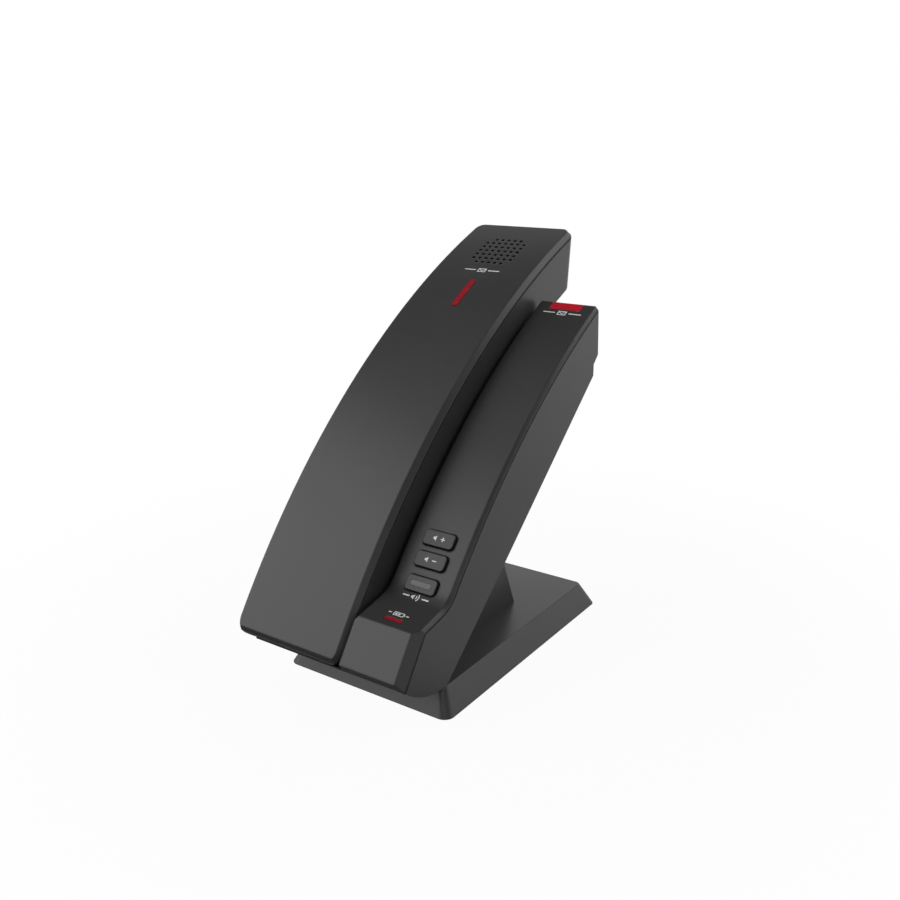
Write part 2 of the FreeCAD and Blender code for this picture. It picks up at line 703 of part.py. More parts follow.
line_block = block("line_block", floor_frame, line_x, jack_y, (jack_floor, jack_top))
plug_room = block("plug_room", floor_frame, about((line_x[0] + line_x[1]) / 2, plug_width),
                  (jack_face - jack_depth * 0.75, jack_face + 1),
                  about((jack_floor + jack_top) / 2, plug_height))
latch_room = block("latch_room", floor_frame,
                   about((line_x[0] + line_x[1]) / 2, plug_width / 2),
                   (jack_face - jack_depth * 0.75, jack_face + 1),
                   about((jack_floor + jack_top) / 2 - 1, plug_height))
finished("line_jack", cut("line_jack", line_block, plug_room, latch_room))

power_block = block("power_block", floor_frame, power_x, jack_y, (jack_floor, jack_top))
facing_back = Frame(jack_face, (jack_floor + jack_top) / 2, as_size(-90))
power_middle = (power_x[0] + power_x[1]) / 2
power_room = drum("power_room", facing_back, power_middle, as_size(0),
                  (-jack_depth * 0.75, as_size(1)), power_bore)
power_pin = drum("power_pin", facing_back, power_middle, as_size(0),
                 (-jack_depth * 0.8, as_size(-1)), power_bore / 3)
finished("power_jack", fuse("power_jack", cut("power_shell", power_block, power_room),
                            power_pin))

jack_board_y = (jack_y[0] - board_thickness, jack_y[0])
jack_board_top = jack_top + 2
finished("jack_board", block("jack_board", floor_frame, (line_x[0], power_x[1]), jack_board_y,
                             (jack_floor, jack_board_top)))

# The loom rises from the sockets' board, turns square to the underside and meets the board
loom_y = jack_y[0] - board_thickness / 2
bend_w = (heel_y + cable_v * cosine(underside_slope) - loom_y) / sine(underside_slope)
bend_y, bend_z = underside_frame.point(cable_v, bend_w)
loom_low = drum("loom_low", floor_frame, cable_x, loom_y, (jack_board_top, bend_z),
                cable_radius)
loom_high = drum("loom_high", underside_frame, cable_x, cable_v, (bend_w, board_rise),
                 cable_radius)
loom_bend = doc.addObject("Part::Sphere", "loom_bend")
bind(loom_bend, "Radius", cable_radius)
seat(loom_bend, Frame(bend_y, bend_z, as_size(0)), cable_x, 0, 0)
finished("base_loom", fuse("base_loom", loom_low, loom_high, loom_bend))

# ---------------------------------------------------------------------------------------------
# Side outlines of the leaning body
# ---------------------------------------------------------------------------------------------

shelf_y = plate_front + shelf_behind
shelf_z = plate_top + shelf_above
nose_y = plate_front - nose_ahead
nose_z = plate_top + nose_above
shelf_sin = sine(shelf_slope)
shelf_cos = cosine(shelf_slope)
front_sin = sine(front_slope)
front_cos = cosine(front_slope)

# The hollow between strip and shelf touches both. Its middle is the blend radius above the
# shelf, and as far outside the strip's curve.
blend_up = shelf_blend + (shelf_y - axis_y) * (-shelf_sin) + (shelf_z - axis_z) * shelf_cos
blend_span = strip_radius + shelf_blend
blend_back = -root(blend_span * blend_span - blend_up * blend_up)
blend_y = axis_y + blend_back * shelf_cos - blend_up * shelf_sin
blend_z = axis_z + blend_back * shelf_sin + blend_up * shelf_cos


def blend_start(inset):
    """Where the strip's curve, set in by an amount, meets the hollow."""
    share = (strip_radius - inset) / blend_span
    return axis_y + (blend_y - axis_y) * share, axis_z + (blend_z - axis_z) * share


def blend_end(inset):
    """Where the hollow meets the shelf, both set in by an amount."""
    radius = shelf_blend + inset
    return blend_y + radius * shelf_sin, blend_z - radius * shelf_cos


def shelf_front(inset, front_inset):
    """Where the shelf meets the front face, each set in by its own amount."""
    base_y = nose_y - (front_bevel - front_inset) * front_sin
    base_z = nose_z + (front_bevel - front_inset) * front_cos
    gap = ((shelf_y + inset * shelf_sin - base_y) * (-shelf_sin)
           + (shelf_z - inset * shelf_cos - base_z) * shelf_cos)
    along = gap / (front_sin * shelf_cos - front_cos * shelf_sin)
    return base_y + along * front_cos, base_z + along * front_sin


rear_top = on_curve(strip_radius, -strip_up)
rear_low = (rear_top[0] + rear_swell, rear_top[1] - rear_height)
neck_y = rear_low[0] - rear_step
nose_crest = (nose_y - front_bevel * front_sin + nose_bevel * front_cos,
              nose_z + front_bevel * front_cos + nose_bevel * front_sin)

body_outline = [
    rear_top,
    blend_start(as_size(0)) + (strip_radius,),
    blend_end(as_size(0)) + (-shelf_blend,),
    shelf_front(as_size(0), as_size(0)),
    nose_crest,
    (nose_y, nose_z),
    (plate_front, plate_top, belly_radius),
    (heel_y, plate_top),
    (neck_y, underside_height(neck_y)),
    (neck_y, rear_low[1] - rear_step),
    rear_low,
]


def below_strip(inset, front_inset):
    """Everything that lies deeper than an inset under the strip, the shelf and the front."""
    beyond = on_curve(strip_radius - inset, -strip_up - 12)
    front_y, front_z = shelf_front(inset, front_inset)
    return [
        beyond,
        blend_start(inset) + (strip_radius - inset,),
        blend_end(inset) + (-shelf_blend - inset,),
        (front_y, front_z),
        (front_y - reach * front_cos, front_z - reach * front_sin),
        (beyond[0], front_z - reach * front_sin),
    ]


def handset_profile(grow):
    """The handset's side outline, grown all round."""
    top = on_curve(face_radius + grow, -handset_up - grow)
    bottom = on_curve(face_radius + grow, handset_down + grow * 1.4)
    inner_bottom = on_curve(inner_radius - grow, inner_down + grow)
    inner_top = on_curve(inner_radius - grow, -inner_up - grow * 1.4)
    return [top, bottom + (face_radius + grow,), inner_bottom,
            inner_top + (-(inner_radius - grow),)]


def room_profile(grow):
    """The space for the handset: its outline grown, and open on the side of its face."""
    top, bottom, inner_bottom, inner_top = handset_profile(grow)
    radius = face_radius * 1.03
    bottom_out = tuple(a + (b - a) * 1.45 for a, b in zip(inner_bottom, bottom))
    top_out = tuple(a + (b - a) * 1.45 for a, b in zip(inner_top, top))
    return [top_out, bottom_out + (radius,), inner_bottom, inner_top]


whole_strip = (strip_left, strip_right)
whole_cradle = (body_left, strip_left)
hollow_x = (body_left + body_wall, strip_right - body_wall)

# The hollow inside the body, open at the top
wall_sin = body_wall * sine(underside_slope)
wall_cos = body_wall * cosine(underside_slope)
hollow_back = neck_y - body_wall
floor_z = plate_top + body_wall
hollow_floor_y = heel_y + (body_wall - body_wall * cosine(underside_slope)) / underside_rise \
    - wall_sin
belly_inside = (plate_front - nose_ahead * 0.42, plate_top + body_wall * 1.9)
nose_inside = (nose_y + nose_ahead * 0.27, nose_z - nose_bevel * 0.5)
body_hollow_profile = [
    (hollow_back, rear_top[1] + reach / 2),
    (-reach * 2, rear_top[1] + reach / 2),
    (-reach * 2, nose_z + reach),
    nose_inside,
    belly_inside,
    (hollow_floor_y, floor_z),
    (hollow_back, floor_z + (hollow_back - hollow_floor_y) * underside_rise),
]

# ---------------------------------------------------------------------------------------------
# Leaning body: housing, cradle and top cover
# ---------------------------------------------------------------------------------------------

def band(outer, inner, place_from, place_to):
    """A stretch of a curved wall between two radii."""
    return [on_curve(outer, place_from), on_curve(outer, place_to) + (outer,),
            on_curve(inner, place_to), on_curve(inner, place_from) + (-inner,)]


# The shared axis, seen in the underside's frame
axis_v = (axis_y - heel_y) * cosine(underside_slope) + (axis_z - plate_top) * sine(
    underside_slope)
axis_below = (axis_y - heel_y) * sine(underside_slope) - (axis_z - plate_top) * cosine(
    underside_slope)


def height_under(radius, v):
    """Height above the underside of a curved face, at a place up the underside."""
    return root(radius * radius - (v - axis_v) * (v - axis_v)) - axis_below


keypad_rows = 5
keypad_columns = 3
key_places = [key_pitch_along * row - keypad_top for row in range(keypad_rows)]
recess_from = key_places[0] - key_length
recess_to = key_places[-1] + key_length

body_room = slab("body_room", body_hollow_profile, hollow_x)
body_in_strip = slab("body_in_strip", body_outline, whole_strip)
cut_x = (body_left - 1, strip_left)
before_lip = slab("before_lip", [(nose_y + lip_setback - reach, as_size(0)),
                                 (nose_y + lip_setback, as_size(0)),
                                 (nose_y + lip_setback, rear_top[1]),
                                 (nose_y + lip_setback - reach, rear_top[1])], cut_x)
body_in_cradle = cut("body_in_cradle", slab("cradle_side", body_outline, whole_cradle),
                     before_lip)
handset_room = slab("handset_room", room_profile(cradle_gap), cut_x)
cradle_depth = slab("cradle_depth", room_profile(cradle_gap + cradle_skin), cut_x)

housing_right = common(
    "housing_right", body_in_strip,
    slab("housing_under_cover", below_strip(strip_bevel + seam, front_bevel + seam),
         whole_strip))
housing_left = cut("housing_left", body_in_cradle, cradle_depth)
housing_shell = cut("housing_shell", fuse("housing_block", housing_right, housing_left),
                    body_room)

def along_underside(spot):
    """How far up the underside a point of the Y-Z plane lies."""
    return (spot[0] - heel_y) * cosine(underside_slope) + (spot[1] - plate_top) * sine(
        underside_slope)


def above_underside(spot):
    """How far above the underside a point of the Y-Z plane lies."""
    return (spot[1] - plate_top) * cosine(underside_slope) - (spot[0] - heel_y) * sine(
        underside_slope)


board_bottom = board_rise
board_top = board_rise + board_thickness
board_end = (hollow_back - heel_y + board_bottom * sine(underside_slope)) / cosine(
    underside_slope) - 0.6
lamp_top = board_top + lamp_height

# Screws from below: two into the cover, four into the cradle
cover_screws = [(strip_middle, axis_v - 26), (strip_middle, axis_v + 24)]
cradle_screw_x = (body_left + body_wall + boss_radius + 0.3, strip_left - boss_radius - 1)
cradle_screws = [(x, v) for x in cradle_screw_x for v in (heel * 10, axis_v + 44)]
housing_screw_places = cover_screws + cradle_screws
housing_holes = [drum(f"housing_hole_{i}", underside_frame, x, v, (as_size(-1), body_wall + 1),
                      screw_radius + fit * 3) for i, (x, v) in enumerate(housing_screw_places)]
housing_sinks = [drum(f"housing_sink_{i}", underside_frame, x, v,
                      (as_size(-1), screw_head_height), screw_head + fit * 4)
                 for i, (x, v) in enumerate(housing_screw_places)]
neck_clearances = [drum(f"neck_clearance_{i}", underside_frame, x, v,
                        (as_size(-1), body_wall + 1), screw_radius + fit * 3)
                   for i, (x, v) in enumerate(neck_places)]

# Loudspeaker, microphone and the posts under the board
speaker_v = axis_v
slot_count = 7
speaker_slots = [block(f"speaker_slot_{i}", underside_frame,
                       about(cradle_middle, speaker_radius * 2 - 3 - abs(i - slot_count // 2) * 5),
                       about(speaker_v + (i - slot_count // 2) * speaker_radius / 4.2,
                             as_size(1.6)), (as_size(-1), body_wall + 1))
                 for i in range(slot_count)]
speaker_ring = cut(
    "speaker_ring",
    drum("speaker_ring_outer", underside_frame, cradle_middle, speaker_v,
         (body_wall - 0.5, body_wall + speaker_depth * 0.6), speaker_radius + 1.4),
    drum("speaker_ring_inner", underside_frame, cradle_middle, speaker_v,
         (body_wall - 1, body_wall + speaker_depth), speaker_radius + fit))
post_places = [(x, v) for x in (strip_middle - board_width / 2 + 2.5,
                                strip_middle + board_width / 2 - 2.5)
               for v in (heel * 6, axis_v)]
posts = [drum(f"post_{i}", underside_frame, x, v, (body_wall - 0.5, board_bottom - fit),
              as_size(2)) for i, (x, v) in enumerate(post_places)]
mic_x = strip_middle + 6.2
mic_v = axis_v - 60
mic_hole = drum("mic_hole", underside_frame, mic_x, mic_v, (as_size(-1), body_wall + 1),
                as_size(0.8))
housing_full = fuse("housing_full", housing_shell, speaker_ring, *posts)

# Message light: flush with the strip's top end, with a foot that reaches down to its lamp
end_frame = Frame(rear_top[0], rear_top[1], slope_at(-strip_up))
message_x = about(strip_middle, message_width)
message_head_w = (-message_depth, as_size(2))
message_arm_w = (-message_depth - 0.6, -cover_skin - 0.9)
message_lamp_v = board_end - 2.4
message_head = common(
    "message_head", slab("message_blank", body_outline, message_x),
    block("message_cut", end_frame, message_x, (-message_length, as_size(10)), message_head_w))
message_arm = block("message_arm", end_frame, about(strip_middle, message_width / 2),
                    (-message_length * 4, -message_length / 2), message_arm_w)
message_leg = block("message_leg", underside_frame, about(strip_middle, message_width / 2),
                    about(message_lamp_v, as_size(2.4)), (lamp_top + 0.3, lamp_top + 4))
finished("message_light", fuse("message_light", message_head, message_arm, message_leg))
message_notch = block("message_notch", end_frame,
                      about(strip_middle, message_width + fit * 2),
                      (-message_length - fit, as_size(12)), (-message_depth - fit, as_size(4)))
arm_notch = block("arm_notch", end_frame, about(strip_middle, message_width / 2 + fit * 2),
                  (-message_length * 5, as_size(-1)), (message_arm_w[0] - fit, as_size(-3)))

finished("base_housing", cut("base_housing", housing_full, *housing_holes, *housing_sinks,
                             *neck_clearances, *speaker_slots, mic_hole, cable_hole,
                             message_notch, arm_notch))

# Charge light: a bar in the shelf, with a guide that reaches down to its lamp
shelf_edge = shelf_front(as_size(0), as_size(0))
shelf_frame = Frame(shelf_edge[0], shelf_edge[1], shelf_slope)
charge_bar = padded_plate("charge_bar", charge_width, charge_length, charge_length / 3,
                          cover_skin + 1)
seat(charge_bar, shelf_frame, strip_middle, charge_inset, -cover_skin - 0.9)
charge_guide = block("charge_guide", shelf_frame, about(strip_middle, charge_width / 2),
                     about(charge_inset, charge_length), (-charge_drop, -cover_skin))
finished("charge_light", fuse("charge_light", charge_bar, charge_guide))
charge_slot = padded_plate("charge_slot", charge_width + fit * 2, charge_length + fit * 2,
                           charge_length / 3, cover_skin + 6)
seat(charge_slot, shelf_frame, strip_middle, charge_inset, -cover_skin - 3)
charge_lamp_v = along_underside(shelf_frame.point(charge_inset, -charge_drop))

# Top cover: strip, shelf and front face in one piece, with a wall beside the handset
whole_x = (strip_left, strip_right)
cover_below = below_strip(strip_bevel, front_bevel)
skin_x = (strip_left, strip_right - body_wall - 0.2)


def on_strip(corner):
    """Whether a corner of the body's outline lies on the strip's curve."""
    distance = math.hypot(corner.Y - axis_y.value, corner.Z - axis_z.value)
    return abs(distance - strip_radius.value) < 0.01


def on_front(corner):
    """Whether a corner lies on the hollow, the shelf or the front face."""
    behind = corner.Y > blend_start(as_size(0))[0].value + 0.001
    return not behind and corner.Z > nose_crest[1].value - 0.001


def on_right_edge(edge):
    if edge.BoundBox.XMin < strip_right.value - 0.001:
        return False
    return all(on_strip(corner) or on_front(corner) for corner in edge.Vertexes)


def on_left_edge(edge):
    if edge.BoundBox.XMax > strip_left.value + 0.001:
        return False
    return all(on_strip(corner) for corner in edge.Vertexes)


def right_bevel(number):
    middle = body_in_strip.Shape.Edges[number - 1].CenterOfMass
    faces_front = abs(middle.y - (nose_crest[0].value + shelf_edge[0].value) / 2) < 1
    return front_bevel.value if faces_front else strip_bevel.value


cover_bevelled = dressed("Part::Chamfer", "cover_bevelled", body_in_strip, on_right_edge,
                         right_bevel)
cover_eased = dressed("Part::Chamfer", "cover_eased", cover_bevelled, on_left_edge,
                      lambda number: strip_inner_bevel.value)
cover_outer = cut("cover_outer", cover_eased, slab("cover_outer_limit", cover_below, whole_x))
cover_skin_block = cut("cover_skin_block", slab("cover_skin_outer", cover_below, skin_x),
                       slab("cover_skin_inner", below_strip(cover_skin, front_bevel + 0.6),
                            (strip_left - 1, strip_right)))
cover_room = slab("cover_room", body_hollow_profile, (body_left, strip_right))
cover_inner = common("cover_inner", cover_skin_block, cover_room)
cover_wall_x = (strip_left, strip_left + cover_skin)
cover_wall_depth = common(
    "cover_wall_depth", slab("cover_wall_blank", room_profile(cradle_gap + cradle_skin),
                             cover_wall_x), slab("cover_wall_top", cover_below, cover_wall_x))
cover_wall = common("cover_wall", cover_wall_depth, cover_room)
cover_bosses = []
cover_boss_holes = []
for index, (x, v) in enumerate(cover_screws):
    under_skin = height_under(strip_radius - cover_skin, v)
    cover_bosses.append(drum(f"cover_boss_{index}", underside_frame, x, v,
                             (body_wall + fit, under_skin + 0.8), boss_radius))
    cover_boss_holes.append(drum(f"cover_boss_hole_{index}", underside_frame, x, v,
                                 (as_size(0), body_wall + boss_hole_depth),
                                 screw_radius + fit))

# Buttons: a cap in the cover's skin, a flange that keeps it in, and a stem over its switch
button_places = {"volume_up_button": volume_up_place, "volume_down_button": volume_down_place,
                 "speaker_button": speaker_place}
button_holes = []
switches = []
for node, place in button_places.items():
    frame = curve_frame(strip_radius, place)
    hole = padded_plate(node + "_hole", button_width + button_play * 2,
                        button_length + button_play * 2, button_corner + button_play,
                        cover_skin + button_rise + 4)
    button_holes.append(seat(hole, frame, strip_middle, 0, -cover_skin - 2))
    cap = padded_plate(node + "_cap", button_width, button_length, button_corner,
                       cover_skin + button_rise + 0.2, button_soft)
    seat(cap, frame, strip_middle, 0, -cover_skin - 0.2)
    flange = block(node + "_flange", frame, about(strip_middle, button_width + flange_reach * 2),
                   about(0, button_length + flange_reach * 2),
                   (-cover_skin - 0.1 - flange_thickness, -cover_skin - 0.1))
    above = above_underside(on_curve(strip_radius, place))
    switch_top = board_top + switch_height
    stem_length = (above - switch_top - button_travel - 0.5) / cosine(
        slope_at(place) - underside_slope)
    stem = drum(node + "_stem", frame, strip_middle, 0, (-stem_length, -cover_skin - 0.2),
                as_size(1.6))
    button = fuse(node + "_body", cap, flange, stem)
    if node == "speaker_button":
        bar_seat = padded_plate("bar_seat", bar_width + fit * 2, bar_length + fit * 2,
                                bar_length / 3, bar_depth + 1)
        seat(bar_seat, frame, strip_middle, 0, button_rise - bar_depth)
        button = cut(node, button, bar_seat)
        light_bar = padded_plate("speaker_light", bar_width, bar_length, bar_length / 3,
                                 bar_depth)
        finished("speaker_light", seat(light_bar, frame, strip_middle, 0,
                                       button_rise - bar_depth))
    finished(node, button)
    stem_v = along_underside(frame.point(as_size(0), -stem_length))
    switches.append(block(node + "_switch_body", underside_frame,
                          about(strip_middle, switch_width), about(stem_v, switch_width),
                          (board_top, board_top + switch_height * 0.75)))
    switches.append(drum(node + "_switch_plunger", underside_frame, strip_middle, stem_v,
                         (board_top, switch_top), switch_width / 4))

cover_full = fuse("cover_full", cover_outer, cover_inner, cover_wall, *cover_bosses)
finished("base_top_cover", cut("base_top_cover", cover_full, *cover_boss_holes, *button_holes,
                               charge_slot, message_notch))

# ---------------------------------------------------------------------------------------------
# Electronics of the base
# ---------------------------------------------------------------------------------------------

finished("base_switches", fuse("base_switches", *switches))
lamps = [block(f"base_lamp_{i}", underside_frame, about(strip_middle, lamp_width),
               about(v, lamp_width * 0.7), (board_top, lamp_top))
         for i, v in enumerate((charge_lamp_v, message_lamp_v))]
finished("base_lamps", fuse("base_lamps", *lamps))
base_board = block("base_board_blank", underside_frame, about(strip_middle, board_width),
                   (board_end - board_length, board_end), (board_bottom, board_top))
base_board_holes = [drum(f"base_board_hole_{i}", underside_frame, x, v,
                         (board_bottom - 1, board_top + 1), boss_radius + 0.4)
                    for i, (x, v) in enumerate(cover_screws)]
finished("base_circuit_board", cut("base_circuit_board", base_board, *base_board_holes))

speaker_w = body_wall + fit
finished("base_loudspeaker", fuse(
    "base_loudspeaker",
    drum("speaker_basket", underside_frame, cradle_middle, speaker_v,
         (speaker_w, speaker_w + speaker_depth * 0.45), speaker_radius),
    drum("speaker_magnet", underside_frame, cradle_middle, speaker_v,
         (speaker_w, speaker_w + speaker_depth), speaker_radius * 0.6)))
finished("base_microphone", drum("base_microphone", underside_frame, mic_x, mic_v,
                                 (speaker_w, speaker_w + microphone_depth), microphone_radius))

# ---------------------------------------------------------------------------------------------
# Cradle with the charging pins
# ---------------------------------------------------------------------------------------------

cradle_tray = common("cradle_tray", cut("cradle_blank", body_in_cradle, handset_room),
                     cradle_depth)
recess_x = about(handset_middle, key_pitch_across * 2 + key_width + key_play * 8)
recess_under = bed_radius - key_recess
tray_under = bed_radius - cradle_skin
recess_floor = slab("recess_floor", band(tray_under + 0.5, recess_under - cradle_skin * 0.7,
                                         recess_from - cradle_skin, recess_to + cradle_skin),
                    (recess_x[0] - cradle_skin, recess_x[1] + cradle_skin))
recess_room = slab("recess_room", band(inner_radius, recess_under, recess_from, recess_to),
                   recess_x)
recess_limit = slab("recess_limit", body_hollow_profile, (hollow_x[0] + fit, strip_left))
cradle_bosses = []
cradle_boss_holes = []
for index, (x, v) in enumerate(cradle_screws):
    under_tray = height_under(tray_under, v)
    cradle_bosses.append(drum(f"cradle_boss_{index}", underside_frame, x, v,
                              (body_wall + fit, under_tray + 0.5), boss_radius))
    cradle_boss_holes.append(drum(f"cradle_boss_hole_{index}", underside_frame, x, v,
                                  (as_size(0), under_tray), screw_radius + fit))
pin_frame = curve_frame(bed_radius, pin_place)
pin_x = {"charging_pin_left": handset_middle - pin_pitch / 2,
         "charging_pin_right": handset_middle + pin_pitch / 2}
pin_holes = [drum(f"pin_hole_{i}", pin_frame, x, 0, (-cradle_skin - 1, as_size(1)),
                  pin_radius + pin_play) for i, x in enumerate(pin_x.values())]
cradle_full = fuse("cradle_full", cradle_tray,
                   common("recess_floor_inside", recess_floor, recess_limit), *cradle_bosses)
finished("handset_cradle", cut("handset_cradle", cradle_full, recess_room, *cradle_boss_holes,
                               *pin_holes))

# Each pin: a tip that stands in the bed, and a flange that its spring pushes up
flange_w = (-cradle_skin - 0.1 - flange_thickness, -cradle_skin - 0.1)
pin_tip = cradle_gap - pin_play * 2
holder_floor = flange_w[0] - pin_travel - 0.3 - flange_thickness
pin_rooms = []
for node, x in pin_x.items():
    tip = drum(node + "_tip", pin_frame, x, 0, (flange_w[0], pin_tip), pin_radius)
    collar = drum(node + "_collar", pin_frame, x, 0, flange_w, pin_radius * 1.6)
    finished(node, fuse(node, tip, collar))
    pin_rooms.append(drum(node + "_room", pin_frame, x, 0,
                          (holder_floor + flange_thickness, as_size(0)),
                          pin_radius * 1.6 + pin_play * 2))
holder_block = block("holder_block", pin_frame, about(handset_middle, pin_pitch + pin_radius * 6),
                     about(0, pin_radius * 5), (holder_floor, -cradle_skin - fit * 2))
finished("pin_holder", cut("pin_holder", holder_block, *pin_rooms))

housing_screws = []
for index, (x, v) in enumerate(housing_screw_places):
    if index < len(cover_screws):
        length = body_wall + boss_hole_depth - screw_head_height - 1
    else:
        length = height_under(tray_under, v) - screw_head_height - 0.6
    housing_screws.append(screw(f"housing_screw_{index}", underside_frame, x, v,
                                screw_head_height, length))
finished("housing_screws", fuse("housing_screws", *housing_screws))

# ---------------------------------------------------------------------------------------------
# Handset casing
# ---------------------------------------------------------------------------------------------

def ear_frame(place, sunk=as_size(0)):
    """A plane on the handset's ear side: w points out of it, and v runs down."""
    y, z = on_curve(inner_radius + sunk, place)
    return Frame(y, z, slope_at(place) + 180)


def on_radius(edge, radius):
    """Whether an edge runs along a curved face of that radius."""
    for corner in edge.Vertexes:
        distance = math.hypot(corner.Y - axis_y.value, corner.Z - axis_z.value)
        if abs(distance - radius.value) > 0.01:
            return False
    return True


def end_corner(edge):
    """An edge between one of the handset's sides and one of its ends."""
    flat_on_side = edge.BoundBox.XLength < 0.001
    return flat_on_side and len(edge.Vertexes) == 2 and not (
        on_radius(edge, face_radius) or on_radius(edge, inner_radius))


handset_x = (handset_left, handset_right)
handset_block = slab("handset_block", handset_profile(as_size(0)), handset_x)
handset_cornered = dressed("Part::Fillet", "handset_cornered", handset_block, end_corner,
                           lambda number: handset_corner.value)
handset_bevelled = dressed("Part::Chamfer", "handset_bevelled", handset_cornered,
                           lambda edge: on_radius(edge, face_radius),
                           lambda number: handset_bevel.value)
end_lean = (handset_down - inner_down) / handset_depth


def end_line(share):
    """A place along the bottom bevel: 0 where it leaves the face, 1 at the end wall."""
    depth = end_bevel_depth * share
    return on_curve(face_radius - depth,
                    handset_down - end_bevel * (1 - share) - depth * end_lean)


beyond_end = slab("beyond_end", [end_line(-1), end_line(2),
                                 on_curve(inner_radius, handset_down + end_bevel * 3),
                                 on_curve(face_radius + end_bevel_depth,
                                          handset_down + end_bevel * 3)],
                  (handset_left - 1, handset_right + 1))
handset_shape = dressed("Part::Fillet", "handset_shape",
                        cut("handset_ended", handset_bevelled, beyond_end),
                        lambda edge: on_radius(edge, inner_radius),
                        lambda number: handset_soft.value)

split_radius = face_radius - handset_bevel
beyond_x = (handset_left - 1, handset_right + 1)
wide_band_places = (-handset_up - 20, handset_down + 20)
above_split = slab("above_split", band(face_radius + 2, split_radius + seam / 2,
                                       *wide_band_places), beyond_x)
below_split = slab("below_split", band(split_radius - seam / 2, inner_radius - 2,
                                       *wide_band_places), beyond_x)
handset_room_x = (handset_left + handset_wall, handset_right - handset_wall)
handset_hollow = slab("handset_hollow", handset_profile(-handset_wall), handset_room_x)

# Grille: a square of holes without its corners
grille_frame = curve_frame(face_radius, -grille_place)
grille_count = 7
grille_middle = grille_count // 2
grille_spots = [(i, j) for i in range(-grille_middle, grille_middle + 1)
                for j in range(-grille_middle, grille_middle + 1)
                if not abs(i) == abs(j) == grille_middle]
grille_holes = [drum(f"grille_hole_{k}", grille_frame, handset_middle + grille_pitch * i,
                     grille_pitch * j, (-handset_bevel - 1, as_size(1)), grille_hole)
                for k, (i, j) in enumerate(grille_spots)]
slot_frame = curve_frame(face_radius, -slot_place)
slot_hole = padded_plate("slot_hole", slot_width + fit * 2, slot_length + fit * 2,
                         slot_width / 3, handset_bevel + 2)
seat(slot_hole, slot_frame, handset_middle, 0, -handset_bevel - 1)

# The ringer sits in a ring behind the grille
ringer_w = (-handset_bevel - 0.6 - ringer_depth, -handset_bevel - 0.6)
ringer_ring = cut(
    "ringer_ring",
    drum("ringer_ring_outer", grille_frame, handset_middle, 0,
         (ringer_w[0] * 0.7, -handset_bevel + 0.5), ringer_radius + 1.4),
    drum("ringer_ring_inner", grille_frame, handset_middle, 0,
         (ringer_w[0] - 1, -handset_bevel + 0.2), ringer_radius + fit))

# Four screws from the ear side hold the two shells together
screw_x = handset_width / 2 - handset_wall - boss_radius - 0.2
handset_screw_places = [(handset_middle + screw_x * side, place) for side in (-1, 1)
                        for place in (-shell_screw_upper, shell_screw_lower)]
boss_foot = handset_wall + 1.2
outer_bosses = []
outer_boss_holes = []
inner_pads = []
inner_holes = []
inner_sinks = []
screw_bodies = []
for index, (x, place) in enumerate(handset_screw_places):
    frame = ear_frame(place)
    outer_bosses.append(drum(f"outer_boss_{index}", frame, x, 0,
                             (-handset_depth + handset_bevel - 0.5, -boss_foot - fit),
                             boss_radius))
    outer_boss_holes.append(drum(f"outer_boss_hole_{index}", frame, x, 0,
                                 (-handset_depth + handset_bevel + 2, as_size(0)),
                                 screw_radius + fit))
    inner_pads.append(drum(f"inner_pad_{index}", frame, x, 0,
                           (-boss_foot, -handset_wall + 0.5), boss_radius))
    inner_holes.append(drum(f"inner_hole_{index}", frame, x, 0, (-boss_foot - 1, as_size(1)),
                            screw_radius + fit * 3))
    inner_sinks.append(drum(f"inner_sink_{index}", frame, x, 0,
                            (-screw_head_height - 0.2, as_size(1)), screw_head + fit * 4))
    screw_bodies.append(screw(f"handset_screw_{index}", frame, x, 0,
                              -screw_head_height - 0.2, handset_depth * 0.6, upward=False))

outer_shell = common("outer_shell", handset_shape, above_split)
outer_full = fuse("outer_full", outer_shell, ringer_ring, *outer_bosses)
finished("handset_outer_shell", cut("handset_outer_shell", outer_full, slot_hole,
                                    *grille_holes, *outer_boss_holes))

# Ear side: keys, earpiece slots, contacts, microphone hole and battery opening
key_rows = [("talk_key", "redial_key", "end_key"), ("key_1", "key_2", "key_3"),
            ("key_4", "key_5", "key_6"), ("key_7", "key_8", "key_9"),
            ("key_star", "key_0", "key_hash")]
key_spots = [(node, handset_middle - key_pitch_across * (column - 1), key_places[row])
             for row, nodes in enumerate(key_rows) for column, node in enumerate(nodes)]
key_holes = []
flange_top = -handset_wall - 0.1
for node, x, place in key_spots:
    frame = ear_frame(place)
    hole = padded_plate(node + "_hole", key_width + key_play * 2, key_length + key_play * 2,
                        key_corner + key_play, handset_wall + 3)
    key_holes.append(seat(hole, frame, x, 0, -handset_wall - 1.5))
    cap = padded_plate(node + "_cap", key_width, key_length, key_corner,
                       key_rise - flange_top + 0.2, key_soft)
    seat(cap, frame, x, 0, flange_top - 0.2)
    flange = block(node + "_flange", frame, about(x, key_width + flange_reach * 2),
                   about(0, key_length + flange_reach * 2),
                   (flange_top - flange_thickness, flange_top))
    finished(node, fuse(node, cap, flange))

ear_place = earpiece_radius + handset_wall + 2.2 - inner_up
ear_slots = [block(f"ear_slot_{i}", ear_frame(ear_place), about(handset_middle, 10 - abs(i) * 3),
                   about(i * 3, as_size(1.3)), (-handset_wall - 1, as_size(1)))
             for i in (-1, 0, 1)]
contact_x = (pin_x["charging_pin_left"], pin_x["charging_pin_right"])
contact_frame = ear_frame(pin_place)
contact_holes = [drum(f"contact_hole_{i}", contact_frame, x, 0, (-handset_wall - 1, as_size(1)),
                      contact_radius + fit) for i, x in enumerate(contact_x)]
microphone_frame = ear_frame(pin_place + 1)
microphone_hole = drum("microphone_hole", microphone_frame, handset_middle, 0,
                       (-handset_wall - 1, as_size(1)), as_size(0.8))

